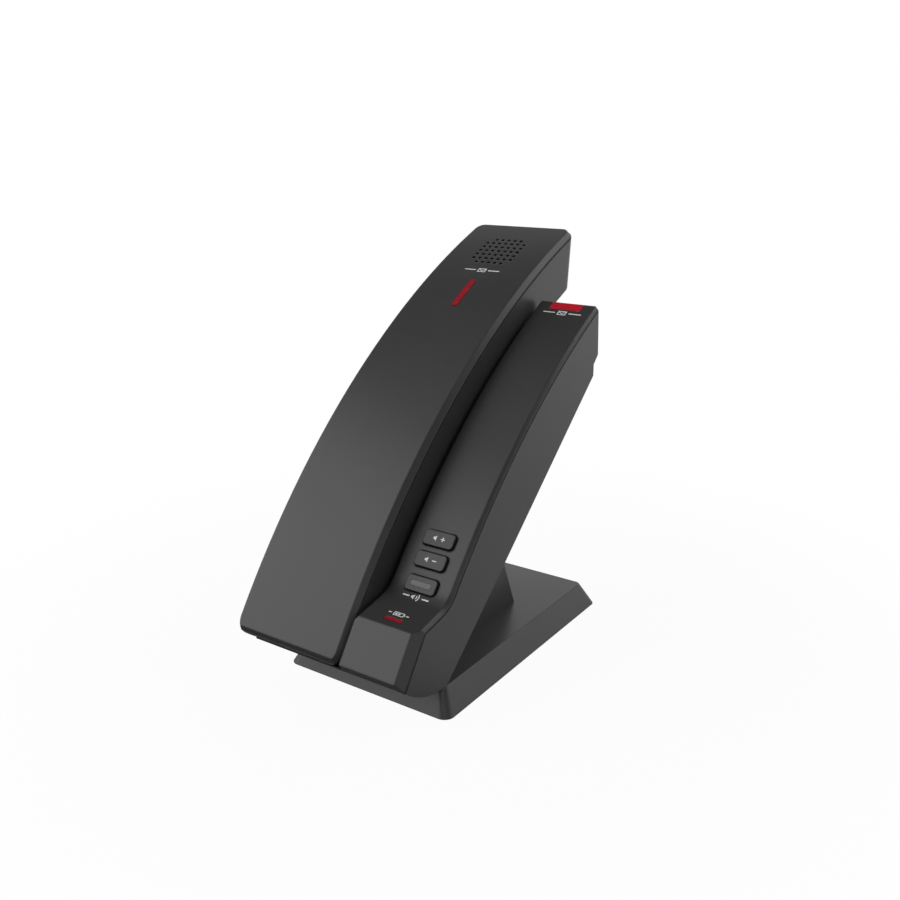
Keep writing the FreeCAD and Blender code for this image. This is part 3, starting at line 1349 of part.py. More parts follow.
pack_width = battery_radius * 6 + fit * 4
door_places = (battery_place - battery_length / 2 - 3,
               battery_place + battery_length / 2 + boss_radius * 2 + 2)
door_x = about(handset_middle, pack_width + 4)
door_hole = slab("door_hole", band(inner_radius + handset_wall, inner_radius - 3, *door_places),
                 door_x)
ledge = slab("ledge", band(inner_radius + handset_wall + 1, inner_radius + handset_wall,
                           door_places[0] - 1.5, door_places[1] + 1.5),
             (door_x[0] - 1.5, door_x[1] + 1.5))
ledge_hole = slab("ledge_hole", band(inner_radius + handset_wall + 4, inner_radius,
                                     door_places[0] + 1.2,
                                     battery_place + battery_length / 2 + 0.6),
                  (door_x[0] + 1.2, door_x[1] - 1.2))
door_screw_frame = ear_frame(door_places[1] - boss_radius - 0.4)
door_boss = drum("door_boss", door_screw_frame, handset_middle, 0,
                 (-handset_wall - 6, -handset_wall - 0.5), boss_radius)
door_boss_hole = drum("door_boss_hole", door_screw_frame, handset_middle, 0,
                      (-handset_wall - 5.4, as_size(0)), screw_radius + fit)
inner_shell = cut("inner_shell", common("inner_shell_block", handset_shape, below_split),
                  handset_hollow)
inner_full = fuse("inner_full", cut("inner_with_door", inner_shell, door_hole),
                  cut("ledge_ring", ledge, ledge_hole), door_boss, *inner_pads)
finished("handset_inner_shell", cut("handset_inner_shell", inner_full, *inner_holes,
                                    *inner_sinks, *key_holes, *ear_slots, *contact_holes,
                                    microphone_hole, door_boss_hole))

door_block = slab("door_block", band(inner_radius + handset_wall - fit, inner_radius,
                                     door_places[0] + fit * 2, door_places[1] - fit * 2),
                  (door_x[0] + fit * 2, door_x[1] - fit * 2))
door_screw_hole = drum("door_screw_hole", door_screw_frame, handset_middle, 0,
                       (-handset_wall - 1, as_size(1)), screw_radius + fit * 3)
door_screw_sink = drum("door_screw_sink", door_screw_frame, handset_middle, 0,
                       (-screw_head_height, as_size(1)), screw_head + fit * 4)
finished("battery_cover", cut("battery_cover", door_block, door_screw_hole, door_screw_sink))
screw_bodies.append(screw("door_screw", door_screw_frame, handset_middle, 0,
                          -screw_head_height, as_size(5), upward=False))
finished("handset_screws", fuse("handset_screws", *screw_bodies))

# ---------------------------------------------------------------------------------------------
# Inside the handset
# ---------------------------------------------------------------------------------------------

light_head = padded_plate("light_head", slot_width, slot_length, slot_width / 3,
                          handset_bevel + 0.7)
seat(light_head, slot_frame, handset_middle, 0, -handset_bevel - 0.6)
light_leg = block("light_leg", slot_frame, about(handset_middle, slot_width * 0.8),
                  about(0, slot_width * 2), (-light_drop, -handset_bevel))
finished("handset_light", fuse("handset_light", light_head, light_leg))

finished("grille_cloth", drum("grille_cloth", grille_frame, handset_middle, 0,
                              (-handset_bevel - 0.55, -handset_bevel - 0.25),
                              ringer_radius - 0.2))
finished("ringer", fuse(
    "ringer",
    drum("ringer_basket", grille_frame, handset_middle, 0,
         (ringer_w[1] - ringer_depth * 0.5, ringer_w[1]), ringer_radius),
    drum("ringer_magnet", grille_frame, handset_middle, 0, ringer_w, ringer_radius * 0.6)))
finished("earpiece", drum("earpiece", ear_frame(ear_place), handset_middle, 0,
                          (-handset_wall - fit * 2 - earpiece_depth, -handset_wall - fit * 2),
                          earpiece_radius))

# Keypad: a rubber sheet with a pad under each key
sheet_low = handset_wall + 0.1 + flange_thickness + key_travel + 0.2
sheet = slab("keypad_sheet", band(inner_radius + sheet_low + sheet_thickness,
                                  inner_radius + sheet_low, recess_from, recess_to),
             about(handset_middle, key_pitch_across * 2 + key_width))
pads = [drum(f"keypad_pad_{node}", ear_frame(place), x, 0,
             (-sheet_low - sheet_thickness - 0.8, -sheet_low - sheet_thickness / 2),
             key_length * 0.36) for node, x, place in key_spots]
finished("keypad_rubber", fuse("keypad_rubber", sheet, *pads))

circuit_middle = (key_places[0] + key_places[-1]) / 2
circuit_frame = curve_frame(inner_radius, circuit_middle)
circuit_low = sheet_low + sheet_thickness + 1
circuit_x = about(handset_middle, (screw_x - boss_radius - 0.4) * 2)
finished("handset_circuit_board", block("handset_circuit_board", circuit_frame, circuit_x,
                                        about(0, circuit_length),
                                        (circuit_low, circuit_low + board_thickness)))
lamp_v = circuit_length / 2 - lamp_width
finished("handset_lamp", block("handset_lamp", circuit_frame, about(handset_middle, lamp_width),
                               about(lamp_v, lamp_width * 0.7),
                               (circuit_low + board_thickness,
                                circuit_low + board_thickness + lamp_height)))

cell_bottom = curve_frame(inner_radius, battery_place)
cell_rise = handset_wall + 0.3 + battery_radius
cell_y, cell_z = cell_bottom.point(-battery_length / 2, cell_rise)
cell_frame = Frame(cell_y, cell_z, slope_at(battery_place) - 90)
cell_pitch = battery_radius * 2 + fit * 2
cells = [drum(f"battery_cell_{i}", cell_frame, handset_middle + cell_pitch * i, 0,
              (as_size(0), battery_length), battery_radius) for i in (-1, 0, 1)]
wrap = block("battery_wrap", cell_bottom, about(handset_middle, battery_radius * 5),
             about(0, battery_length - 2),
             (cell_rise - battery_radius * 0.9, cell_rise + battery_radius * 0.9))
finished("battery_pack", fuse("battery_pack", wrap, *cells))

contacts = [drum(f"contact_{i}", contact_frame, x, 0, (-handset_wall - 0.8, as_size(0)),
                 contact_radius) for i, x in enumerate(contact_x)]
finished("contact_pads", fuse("contact_pads", *contacts))
finished("handset_microphone", drum("handset_microphone", microphone_frame, handset_middle, 0,
                                    (-handset_wall - fit * 2 - microphone_depth,
                                     -handset_wall - fit * 2), microphone_radius))

# ---------------------------------------------------------------------------------------------
# Check every object, then write one file for each piece
# ---------------------------------------------------------------------------------------------

doc.recompute()
for thing in doc.Objects:
    if "Invalid" in thing.State or "Error" in thing.State:
        raise RuntimeError(f"{thing.Name} failed: {thing.State}")
for node, thing in parts.items():
    if thing.Shape.isNull() or not thing.Shape.isValid() or not thing.Shape.Solids:
        raise RuntimeError(f"{node} has no valid solid")

os.makedirs("parts", exist_ok=True)
for node, thing in parts.items():
    thing.Shape.exportStep(f"parts/{node}.step")
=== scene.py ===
import bmesh
import bpy
import json
import math
from mathutils import Matrix, Vector

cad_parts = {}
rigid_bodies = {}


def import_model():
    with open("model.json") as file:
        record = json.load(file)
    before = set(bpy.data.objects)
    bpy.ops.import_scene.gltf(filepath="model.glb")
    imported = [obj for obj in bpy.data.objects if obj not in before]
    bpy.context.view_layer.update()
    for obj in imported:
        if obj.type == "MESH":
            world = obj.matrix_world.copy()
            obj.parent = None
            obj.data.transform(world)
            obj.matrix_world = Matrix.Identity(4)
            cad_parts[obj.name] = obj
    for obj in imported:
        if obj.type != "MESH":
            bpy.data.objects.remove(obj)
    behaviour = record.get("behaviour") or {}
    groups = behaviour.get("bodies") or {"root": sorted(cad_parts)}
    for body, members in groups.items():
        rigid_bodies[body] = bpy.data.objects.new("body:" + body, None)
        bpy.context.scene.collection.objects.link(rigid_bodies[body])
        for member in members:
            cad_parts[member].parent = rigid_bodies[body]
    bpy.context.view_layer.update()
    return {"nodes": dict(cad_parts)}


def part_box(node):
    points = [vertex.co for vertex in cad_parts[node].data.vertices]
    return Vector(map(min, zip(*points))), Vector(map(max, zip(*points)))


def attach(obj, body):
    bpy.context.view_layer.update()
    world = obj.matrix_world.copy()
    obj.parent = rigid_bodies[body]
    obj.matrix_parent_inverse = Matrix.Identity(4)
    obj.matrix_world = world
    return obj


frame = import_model()
nodes = frame["nodes"]
bpy.context.scene.view_settings.view_transform = "Standard"

# Camera: it stands to the right of the phone's front and a little above it, and looks slightly
# down. It has no shift and no depth of field.

camera_drop = 17.602
camera_turn = 34.388
camera_data = bpy.data.cameras.new("camera")
camera_data.sensor_width = 36.0
camera_data.lens = 39.896
camera_data.clip_start = 0.01
camera = bpy.data.objects.new("camera", camera_data)
camera.location = (0.203665, -0.298903, 0.191131)
camera.rotation_euler = (math.radians(90 - camera_drop), 0, math.radians(camera_turn))
bpy.context.collection.objects.link(camera)
bpy.context.scene.camera = camera

# Studio: a white paper floor runs into a white backdrop; the ceiling and the camera's side are
# dark. The floor as the phone mirrors it is painted dark ahead of the nose and near the phone, a
# painted shadow seen only in reflections. A softbox at the front left lights the faces and one
# at the back right the rims; three cards lift the strip, the right side and the front.


class Wire:
    """A value in a node tree: arithmetic on it adds Math nodes."""

    def __init__(self, tree, socket):
        self.tree = tree
        self.socket = socket

    def math(self, operation, *values):
        node = self.tree.nodes.new("ShaderNodeMath")
        node.operation = operation
        for slot, value in zip(node.inputs, values):
            feed(self.tree, slot, value)
        return Wire(self.tree, node.outputs[0])

    def __add__(self, other):
        return self.math("ADD", self, other)

    def __radd__(self, other):
        return self.math("ADD", other, self)

    def __sub__(self, other):
        return self.math("SUBTRACT", self, other)

    def __rsub__(self, other):
        return self.math("SUBTRACT", other, self)

    def __mul__(self, other):
        return self.math("MULTIPLY", self, other)

    def __rmul__(self, other):
        return self.math("MULTIPLY", other, self)

    def larger(self, other):
        return self.math("MAXIMUM", self, other)

    def smaller(self, other):
        return self.math("MINIMUM", self, other)

    def sine(self):
        return self.math("SINE", self)

    def sibling(self, name):
        """Another output of the same node."""
        return Wire(self.tree, self.socket.node.outputs[name])


def feed(tree, slot, value):
    """Links a value to an input of a node, or sets a constant there."""
    if isinstance(value, Wire):
        tree.links.new(value.socket, slot)
    else:
        slot.default_value = value


class Finish:
    """The node tree of a material or of the world; add() makes any node in it."""

    def __init__(self, owner):
        owner.use_nodes = True
        self.owner = owner
        self.tree = owner.node_tree
        self.tree.nodes.clear()

    def add(self, kind, settings=None, sockets=None, output=0):
        node = self.tree.nodes.new(kind)
        for name, value in (settings or {}).items():
            setattr(node, name, value)
        for name, value in (sockets or {}).items():
            feed(self.tree, node.inputs[name], value)
        return Wire(self.tree, node.outputs[output]) if node.outputs else None

    def ramp(self, value, span, ends, curve="LINEAR"):
        """Goes from one end to the other while the value goes through a span."""
        return self.add("ShaderNodeMapRange", {"interpolation_type": curve}, {
            "Value": value, "From Min": span[0], "From Max": span[1],
            "To Min": ends[0], "To Max": ends[1]})


def finish_of(name):
    return Finish(bpy.data.materials.new(name))


ceiling_rise = (0.08, 0.5)
shadow_reach = (0.1, 0.28)
nose_depth = (-0.085, -0.01)
floor_reach = (0.05, 0.9)
bpy.ops.object.select_all(action="DESELECT")
bpy.ops.mesh.primitive_plane_add(size=16, location=(0, 0, 0))
floor = bpy.context.object
floor.name = "studio_floor"
paper = finish_of("studio_paper")
spot = paper.add("ShaderNodeTexCoord", output="Object")
reach = paper.add("ShaderNodeVectorMath", {"operation": "LENGTH"}, {0: spot}, output="Value")
spot_y = paper.add("ShaderNodeSeparateXYZ", sockets={0: spot}, output="Y")
seen = paper.add("ShaderNodeLightPath", output="Is Camera Ray")
mirrored = seen.sibling("Is Glossy Ray")
passed = seen.sibling("Is Transmission Ray")
far = paper.ramp(reach, shadow_reach, (0.95, 1.0), "SMOOTHSTEP")
# Painted shadow in reflections: glossy rays see the floor dimmed ahead of the nose and near the
# phone, while the camera sees it white.
painted_reflection_behind_nose = paper.ramp(spot_y, nose_depth, (0.0, 0.5), "SMOOTHSTEP")
painted_floor_reflection = paper.ramp(reach, floor_reach, (0.0, 0.5))
paper_shade = paper.add("ShaderNodeBsdfDiffuse", sockets={"Color": (0.94, 0.94, 0.94, 1)})
paper_glow = paper.add("ShaderNodeEmission", sockets={
    "Strength": 1 - mirrored * (1 - painted_reflection_behind_nose - painted_floor_reflection)})
whitened = (seen + passed).larger(0).smaller(1) * far + mirrored
paper_mix = paper.add("ShaderNodeMixShader", sockets={0: whitened, 1: paper_shade,
                                                      2: paper_glow})
paper.add("ShaderNodeOutputMaterial", sockets={"Surface": paper_mix})
floor.data.materials.append(paper.owner)

room = Finish(bpy.data.worlds.new("studio_room"))
bpy.context.scene.world = room.owner
way = room.add("ShaderNodeTexCoord", output="Generated")
way_back = room.add("ShaderNodeSeparateXYZ", sockets={0: way}, output="Y")
way_up = way_back.sibling("Z")
ceiling = room.ramp(way_up - way_back * 0.5, ceiling_rise, (1.0, 0.07), "SMOOTHSTEP")
room_seen = room.add("ShaderNodeLightPath", output="Is Camera Ray")
sky = room.add("ShaderNodeBackground", sockets={
    "Color": (1, 1, 1, 1), "Strength": ceiling + room_seen * (1 - ceiling)})
room.add("ShaderNodeOutputWorld", sockets={"Surface": sky})


def lamp(name, azimuth, elevation, distance, width, height, power):
    """A softbox that looks at the phone; azimuth 0 is at the front, 90 at the right."""
    turn = math.radians(azimuth)
    rise = math.radians(elevation)
    data = bpy.data.lights.new(name, "AREA")
    data.shape = "RECTANGLE"
    data.size = width
    data.size_y = height
    data.energy = power
    light = bpy.data.objects.new(name, data)
    aim = Vector((0, 0, 0.07))
    light.location = aim + distance * Vector((math.sin(turn) * math.cos(rise),
                                              -math.cos(turn) * math.cos(rise),
                                              math.sin(rise)))
    light.rotation_euler = (aim - light.location).to_track_quat("-Z", "Y").to_euler()
    bpy.context.collection.objects.link(light)


lamp("front_softbox", -43, 28.5, 1.2, 1.6, 1.06, 10.8)
lamp("high_card", -72, 65, 1.2, 0.6, 0.34, 0.42)
lamp("rim_softbox", 138, 48, 1.1, 0.62, 0.46, 2.2)
lamp("side_card", 60, 15, 1.2, 0.5, 0.3, 0.4)
lamp("front_card", 34, 33, 1.2, 0.8, 0.3, 0.85)

# Foot plate: the flat foot with sloping flanks, moulded in one piece of dark grey plastic with
# a fine matt grain, a barely uneven tone and softened edges.


def noise(finish, place, scale, detail, roughness=0.5):
    return finish.add("ShaderNodeTexNoise", sockets={
        "Vector": place, "Scale": scale, "Detail": detail, "Roughness": roughness})


def shaded(colour, share):
    return [part * share for part in colour]


def between(finish, amount, low, high):
    """A colour that goes from low to high with an amount."""
    low, high = [end if isinstance(end, Wire) else (*end, 1) for end in (low, high)]
    return finish.add("ShaderNodeMix", {"data_type": "RGBA"},
                      {"Factor": amount, 6: low, 7: high}, output=2)


def bumps(finish, height, strength, distance, on=None):
    """Raises and sinks the surface a little, on top of edges that are rounded already."""
    sockets = {"Height": height, "Strength": strength, "Distance": distance}
    if on:
        sockets["Normal"] = on
    return finish.add("ShaderNodeBump", sockets=sockets)


def skinned(finish, colour, roughness, normal, more=None):
    """Closes a material with its surface and returns it."""
    surface = finish.add("ShaderNodeBsdfPrincipled", sockets={
        "Base Color": colour, "Roughness": roughness, "Normal": normal, **(more or {})})
    finish.add("ShaderNodeOutputMaterial", sockets={"Surface": surface})
    return finish.owner


def moulded(name, colour, roughness, grain=1.0, edge=0.0003, painted_shade=None):
    """A moulded plastic: a fine grain, faint clouds in its tone, and a slightly uneven gloss.
    Its last argument says where shade is painted in, black and dull, such as down in small
    holes."""
    finish = finish_of(name)
    place = finish.add("ShaderNodeTexCoord", output="Object")
    clouds = noise(finish, place, 45.0, 3.0, 0.6)
    fine = noise(finish, place, 2600.0, 2.0, 0.7)
    speck = finish.add("ShaderNodeTexVoronoi", {"feature": "SMOOTH_F1"},
                       {"Vector": place, "Scale": 1500.0})
    rounded = finish.add("ShaderNodeBevel", {"samples": 6}, {"Radius": edge})
    body = between(finish, clouds * 0.5 + fine * 0.5, shaded(colour, 0.82),
                   shaded(colour, 1.18))
    gloss = clouds * 0.08 + fine * 0.06 + (roughness - 0.07)
    # Painted shade: where the mask says, the colour goes black and the gloss dull, for shade in
    # holes and joints.
    if painted_shade:
        shade_amount = painted_shade(finish, place)
        body = between(finish, shade_amount, body, (0.002, 0.002, 0.002))
        gloss = gloss + shade_amount * 0.5
    grained = bumps(finish, fine * 0.6 + speck * 0.4, 0.35 * grain, 0.00004, on=rounded)
    return skinned(finish, body, gloss, grained)


def wear(material, *names):
    """Gives CAD nodes one material."""
    for name in names:
        nodes[name].data.materials.clear()
        nodes[name].data.materials.append(material)


wear(moulded("foot_plastic", (0.0475, 0.0475, 0.048), 0.36), "foot_plate")

# Cover under the foot and holder of the charging pins: plain inner mouldings in a blacker,
# coarser plastic, screwed or pressed into place.

wear(moulded("under_plastic", (0.028, 0.028, 0.030), 0.6, grain=1.6), "foot_cover",
     "pin_holder")

# Rubber mat under the foot: black rubber with a moulded grid of small diamonds, glued into a
# recess of the cover so that the phone doesn't slide.

diamond_turns = 1500.0
rubber = finish_of("mat_rubber")
rubber_place = rubber.add("ShaderNodeTexCoord", output="Object")
rubber_x = rubber.add("ShaderNodeSeparateXYZ", sockets={0: rubber_place}, output="X")
rubber_y = rubber_x.sibling("Y")
diamonds = ((rubber_x + rubber_y) * diamond_turns).sine() \
    * ((rubber_x - rubber_y) * diamond_turns).sine()
dust = noise(rubber, rubber_place, 900.0, 4.0)
wear(skinned(rubber, between(rubber, dust, (0.012, 0.012, 0.012), (0.034, 0.034, 0.033)),
             dust * 0.15 + 0.75, bumps(rubber, diamonds + dust * 0.4, 0.8, 0.0002)),
     "rubber_mat")

# Plain metal: the screws, the weight in the foot, the charging pins and contacts, and the cans
# of the microphones and the earpiece. Each has drawn lines or a cast skin, and an uneven gloss.


def metal(name, colour, roughness, stretch, bumpy=0.2):
    finish = finish_of(name)
    place = finish.add("ShaderNodeTexCoord", output="Object")
    drawn = finish.add("ShaderNodeMapping", sockets={"Vector": place, "Scale": stretch})
    lines = noise(finish, drawn, 1200.0, 4.0)
    patches = noise(finish, place, 160.0, 3.0)
    shade = between(finish, lines * 0.6 + patches * 0.4, shaded(colour, 0.8), colour)
    return skinned(finish, shade, patches * 0.16 + (roughness - 0.08),
                   bumps(finish, lines, bumpy, 0.00005), {"Metallic": 1.0})


wear(metal("zinc_plated_steel", (0.56, 0.57, 0.58), 0.34, (1, 1, 0.1)), "foot_screws",
     "pedestal_screws", "housing_screws", "handset_screws")
wear(metal("cast_weight", (0.30, 0.29, 0.28), 0.62, (1, 1, 1), bumpy=0.8), "ballast_weight")
wear(metal("nickel_contacts", (0.72, 0.69, 0.62), 0.22, (1, 1, 1)), "charging_pin_left",
     "charging_pin_right", "contact_pads")
wear(metal("capsule_can", (0.62, 0.63, 0.64), 0.38, (1, 0.1, 1)), "base_microphone",
     "handset_microphone", "earpiece")

# Pedestal, ear-side shell and battery cover: dark grey casing plastic, moulded in thin walls.
# Screws hold the pedestal between foot and housing, and one screw holds the battery cover.

casing_colour = (0.0365, 0.0365, 0.037)
casing_gloss = 0.38
wear(moulded("casing_plastic", casing_colour, casing_gloss), "pedestal",
     "handset_inner_shell", "battery_cover")

# Sockets in the pedestal's back: blocks of black nylon with open rooms for their plugs, and a
# pin in the middle of the power socket; they are soldered to a small board.

wear(moulded("socket_nylon", (0.012, 0.012, 0.013), 0.5, grain=0.6), "line_jack", "power_jack")

# Circuit boards in pedestal, housing and handset: glass-fibre boards under green lacquer, with
# copper tracks that show through as a paler, raised maze.

lacquer = finish_of("board_lacquer")
board_place = lacquer.add("ShaderNodeTexCoord", output="Object")
maze = lacquer.add("ShaderNodeTexBrick", {"offset": 0.37}, {
    "Vector": board_place, "Scale": 160.0, "Mortar Size": 0.09, "Color1": (0, 0, 0, 1),
    "Color2": (0.25, 0.25, 0.25, 1), "Mortar": (1, 1, 1, 1)}, output="Color")
track = lacquer.add("ShaderNodeSeparateColor", sockets={0: maze}, output="Red")
wear(skinned(lacquer, between(lacquer, track, (0.012, 0.085, 0.030), (0.05, 0.21, 0.075)),
             track * 0.1 + 0.28, bumps(lacquer, track, 0.4, 0.00005)),
     "base_circuit_board", "handset_circuit_board", "jack_board")

# Switches under the push buttons and the cable loom between the base's two boards: small black
# mouldings on the board, and a soft black sheath round the wires.

wear(moulded("switch_plastic", (0.03, 0.03, 0.03), 0.5), "base_switches")
wear(moulded("cable_sheath", (0.02, 0.02, 0.02), 0.42, grain=0.4), "base_loom")

# Loudspeakers of base and ringer: round units with a cone of dark pressed paper, whose fibres
# are all that the slots and the grille let show.

paper_cone = finish_of("speaker_paper")
cone_place = paper_cone.add("ShaderNodeTexCoord", output="Object")
fibre = noise(paper_cone, cone_place, 700.0, 5.0)
wear(skinned(paper_cone, between(paper_cone, fibre, (0.02, 0.02, 0.021), (0.07, 0.068, 0.066)),
             fibre * 0.2 + 0.6, bumps(paper_cone, fibre, 0.5, 0.0001)),
     "base_loudspeaker", "ringer")

# Housing of the leaning body: one moulding of casing plastic, with sides, underside and rear
# end. Its rim under the top cover faces up and forwards; every face of it that faces up is
# painted black and dull, as painted shade for the dark of the joint.


# Painted shade: 1 on the housing's upward-facing faces, which are painted black there.
def joint_rim_painted_shade(finish, place):
    facing = finish.add("ShaderNodeTexCoord", output="Normal")
    upward = finish.add("ShaderNodeVectorMath", {"operation": "DOT_PRODUCT"},
                        {0: facing, 1: (0, 0, 1)}, output="Value")
    return finish.ramp(upward, (0.2, 0.3), (0.0, 1.0))


wear(moulded("housing_plastic", casing_colour, casing_gloss, painted_shade=joint_rim_painted_shade),
     "base_housing")

# Cradle that the handset lies in: a thin curved tray of black, duller plastic with a hollow that
# clears the keys, screwed to the housing from below.

wear(moulded("cradle_plastic", (0.012, 0.012, 0.0125), 0.5), "handset_cradle")

# Top cover: strip, shelf and front face beside the handset, in one moulding of casing plastic
# with well rounded edges, screwed on from below.

wear(moulded("cover_plastic", casing_colour, casing_gloss, edge=0.0009), "base_top_cover")

# Lights: the message light at the strip's top end, the charge light in the shelf and the light
# in the handset are clear red plastic. The bar in the speaker button is a milky grey one, and
# the lamps on the boards are clear.


def lens(name, deep, bright, glow):
    finish = finish_of(name)
    place = finish.add("ShaderNodeTexCoord", output="Object")
    swirl = noise(finish, place, 260.0, 2.0)
    colour = between(finish, swirl, deep, bright)
    return skinned(finish, colour, swirl * 0.1 + 0.22, bumps(finish, swirl, 0.15, 0.0001), {
        "Coat Weight": 0.4, "Coat Roughness": 0.08, "Emission Color": colour,
        "Emission Strength": glow})


wear(lens("red_lens", (0.40, 0.002, 0.014), (0.52, 0.004, 0.022), 0.24), "message_light")
wear(lens("dim_red_lens", (0.26, 0.003, 0.010), (0.33, 0.005, 0.016), 0.15), "charge_light",
     "handset_light")
wear(lens("milky_lens", (0.036, 0.036, 0.037), (0.055, 0.055, 0.056), 0.0), "speaker_light")
wear(lens("lamp_lens", (0.62, 0.62, 0.60), (0.8, 0.8, 0.78), 0.0), "base_lamps",
     "handset_lamp")

# Three push buttons on the strip: satin plastic caps with rounded rims, printed on top. They
# follow the strip's curve, whose axis lies behind and below the phone. Their sides go down into
# the strip's holes, and painted shade makes them black and dull there.

curve_y = 0.206427
curve_z = -0.157610
button_radius = 0.3225
face_blend = 0.00004


def below_face(finish, place, radius, depth):
    """1 below a curved face by a depth or more, 0 on the face."""
    offset = finish.add("ShaderNodeVectorMath", {"operation": "SUBTRACT"},
                        {0: place, 1: (0, curve_y, curve_z)})
    across = finish.add("ShaderNodeVectorMath", {"operation": "MULTIPLY"},
                        {0: offset, 1: (0, 1, 1)})
    from_axis = finish.add("ShaderNodeVectorMath", {"operation": "LENGTH"}, {0: across},
                           output="Value")
    return finish.ramp(from_axis, (radius - depth, radius - face_blend), (1.0, 0.0))


# Painted shade: the buttons' sides below their tops are painted black, for the shade in the
# strip's holes.
def button_sides_painted_shade(finish, place):
    return below_face(finish, place, button_radius, 0.00018)


wear(moulded("button_plastic", (0.041, 0.041, 0.042), 0.4, grain=0.5, edge=0.00025,
             painted_shade=button_sides_painted_shade),
     "volume_up_button", "volume_down_button", "speaker_button")

# Handset's outer shell: one moulding of casing plastic with softly rounded edges, whose face
# curves about the same axis as the strip's. The walls of its sound grille's holes are painted
# black and dull inside, as painted shade.

face_radius = 0.3325
middle_slope = math.radians(40)
grille_place = -0.087
grille_radius = 0.014


def on_curve(x, radius, place, ear_side=False):
    """The frame of a spot on a curved face: right, up and outwards, and where it lies. The
    place runs down the face from the middle of its length."""
    slope = middle_slope + place / face_radius
    out = Vector((0, -math.sin(slope), math.cos(slope)))
    spot = Vector((x, curve_y, curve_z)) + out * radius
    right = Vector((1, 0, 0))
    up = Vector((0, math.cos(slope), math.sin(slope)))
    if ear_side:
        right, out = -right, -out
    turned = Matrix((right, up, out)).transposed().to_4x4()
    return Matrix.Translation(spot) @ turned


def middle_x(node):
    return sum(corner.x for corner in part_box(node)) / 2


handset_middle = middle_x("handset_outer_shell")
grille_spot = on_curve(handset_middle, face_radius, grille_place).translation


# Painted shade: black below the face inside the grille's round field, for the shade down in its
# holes.
def grille_holes_painted_shade(finish, place):
    aside = finish.add("ShaderNodeVectorMath", {"operation": "DISTANCE"},
                       {0: place, 1: grille_spot}, output="Value")
    near = finish.ramp(aside, (grille_radius - 0.0005, grille_radius + 0.0005), (1.0, 0.0))
    return below_face(finish, place, face_radius, 0.00016) * near


wear(moulded("shell_plastic", casing_colour, casing_gloss, edge=0.0008, painted_shade=grille_holes_painted_shade),
     "handset_outer_shell")

# Cloth behind the grille: a flat disc of fine black weave, glued inside the shell to keep dust
# out of the ringer.

threads_scale = 900.0
weave = finish_of("grille_weave")
weave_place = weave.add("ShaderNodeTexCoord", output="Object")
warp, weft = [weave.add("ShaderNodeTexWave", {"wave_type": "BANDS", "bands_direction": axis}, {
    "Vector": weave_place, "Scale": threads_scale, "Distortion": 0.4}) for axis in "XY"]
threads = warp.larger(weft)
wear(skinned(weave, between(weave, threads, (0.001, 0.001, 0.001), (0.008, 0.008, 0.008)),
             threads * 0.1 + 0.85, bumps(weave, threads, 0.6, 0.00005)),
     "grille_cloth")

# Battery pack: three small cells side by side in a green heat-shrunk sleeve with a fine,
# slightly glossy skin. It lies in the handset behind the battery cover.

wear(moulded("battery_sleeve", (0.02, 0.11, 0.05), 0.26, grain=0.8), "battery_pack")

# Keypad rubber: one mat of pale grey silicone with a pad under each key, pressed between the
# ear-side shell and the handset's board.

wear(moulded("keypad_silicone", (0.26, 0.26, 0.27), 0.68, grain=0.5), "keypad_rubber")

# Printed signs: thin white ink. The volume buttons carry a horn with a plus and a minus; a horn
# with sound waves stands below the speaker button, a battery above the charge light, and an
# envelope between two dashes above each message light.

ink_finish = finish_of("white_ink")
ink_place = ink_finish.add("ShaderNodeTexCoord", output="Object")
ink_spread = noise(ink_finish, ink_place, 3000.0, 3.0)
white_ink = skinned(
    ink_finish, between(ink_finish, ink_spread, (0.74, 0.74, 0.74), (0.93, 0.93, 0.93)),
    ink_spread * 0.2 + 0.45, bumps(ink_finish, ink_spread, 0.2, 0.00002))
ink_thickness = 0.00003
weld = 0.000001
mm = 0.001


def keep_selected(condition):
    """Leaves selected only those of the selected corners that meet a condition."""
    drawing = bmesh.from_edit_mesh(bpy.context.object.data)
    for corner in drawing.verts:
        corner.select_set(corner.select and condition(corner.co))
    drawing.select_flush_mode()
    bmesh.update_edit_mesh(bpy.context.object.data)


def line(x0, y0, x1, y1, width, end_width=None):
    """A straight line in millimetres, made of a new plane; it may widen or narrow."""
    def shape():
        along = Vector((x1 - x0, y1 - y0, 0))
        middle = Vector((x0 + x1, y0 + y1, 0)) / 2 * mm
        bpy.ops.transform.resize(value=(along.length, width, 1), center_override=(0, 0, 0))
        if end_width is not None:
            keep_selected(lambda corner: corner.x > 0)
            bpy.ops.transform.resize(value=(1, end_width / width, 1),
                                     center_override=(0, 0, 0))
            bpy.ops.mesh.select_linked()
        bpy.ops.transform.rotate(value=-math.atan2(along.y, along.x), orient_axis="Z",
                                 center_override=(0, 0, 0))
        bpy.ops.transform.translate(value=middle)
    return shape


def arc(x, y, radius, start, end, width):
    """A curved line about a middle, between two angles: the edge of a short line, spun."""
    start, end = math.radians(start), math.radians(end)
    across = Vector((math.cos(start), math.sin(start)))
    first = Vector((x, y)) + across * (radius - width / 2)
    last = Vector((x, y)) + across * (radius + width / 2)
    stub = line(*first, *last, 0.1)

    def shape():
        stub()
        ahead = Vector((-across.y, across.x, 0))
        middle = Vector((x, y, 0)) * mm
        keep_selected(lambda corner: (corner - middle).dot(ahead) > 0)
        bpy.ops.mesh.spin(steps=12, angle=start - end, center=middle, axis=(0, 0, 1))
    return shape


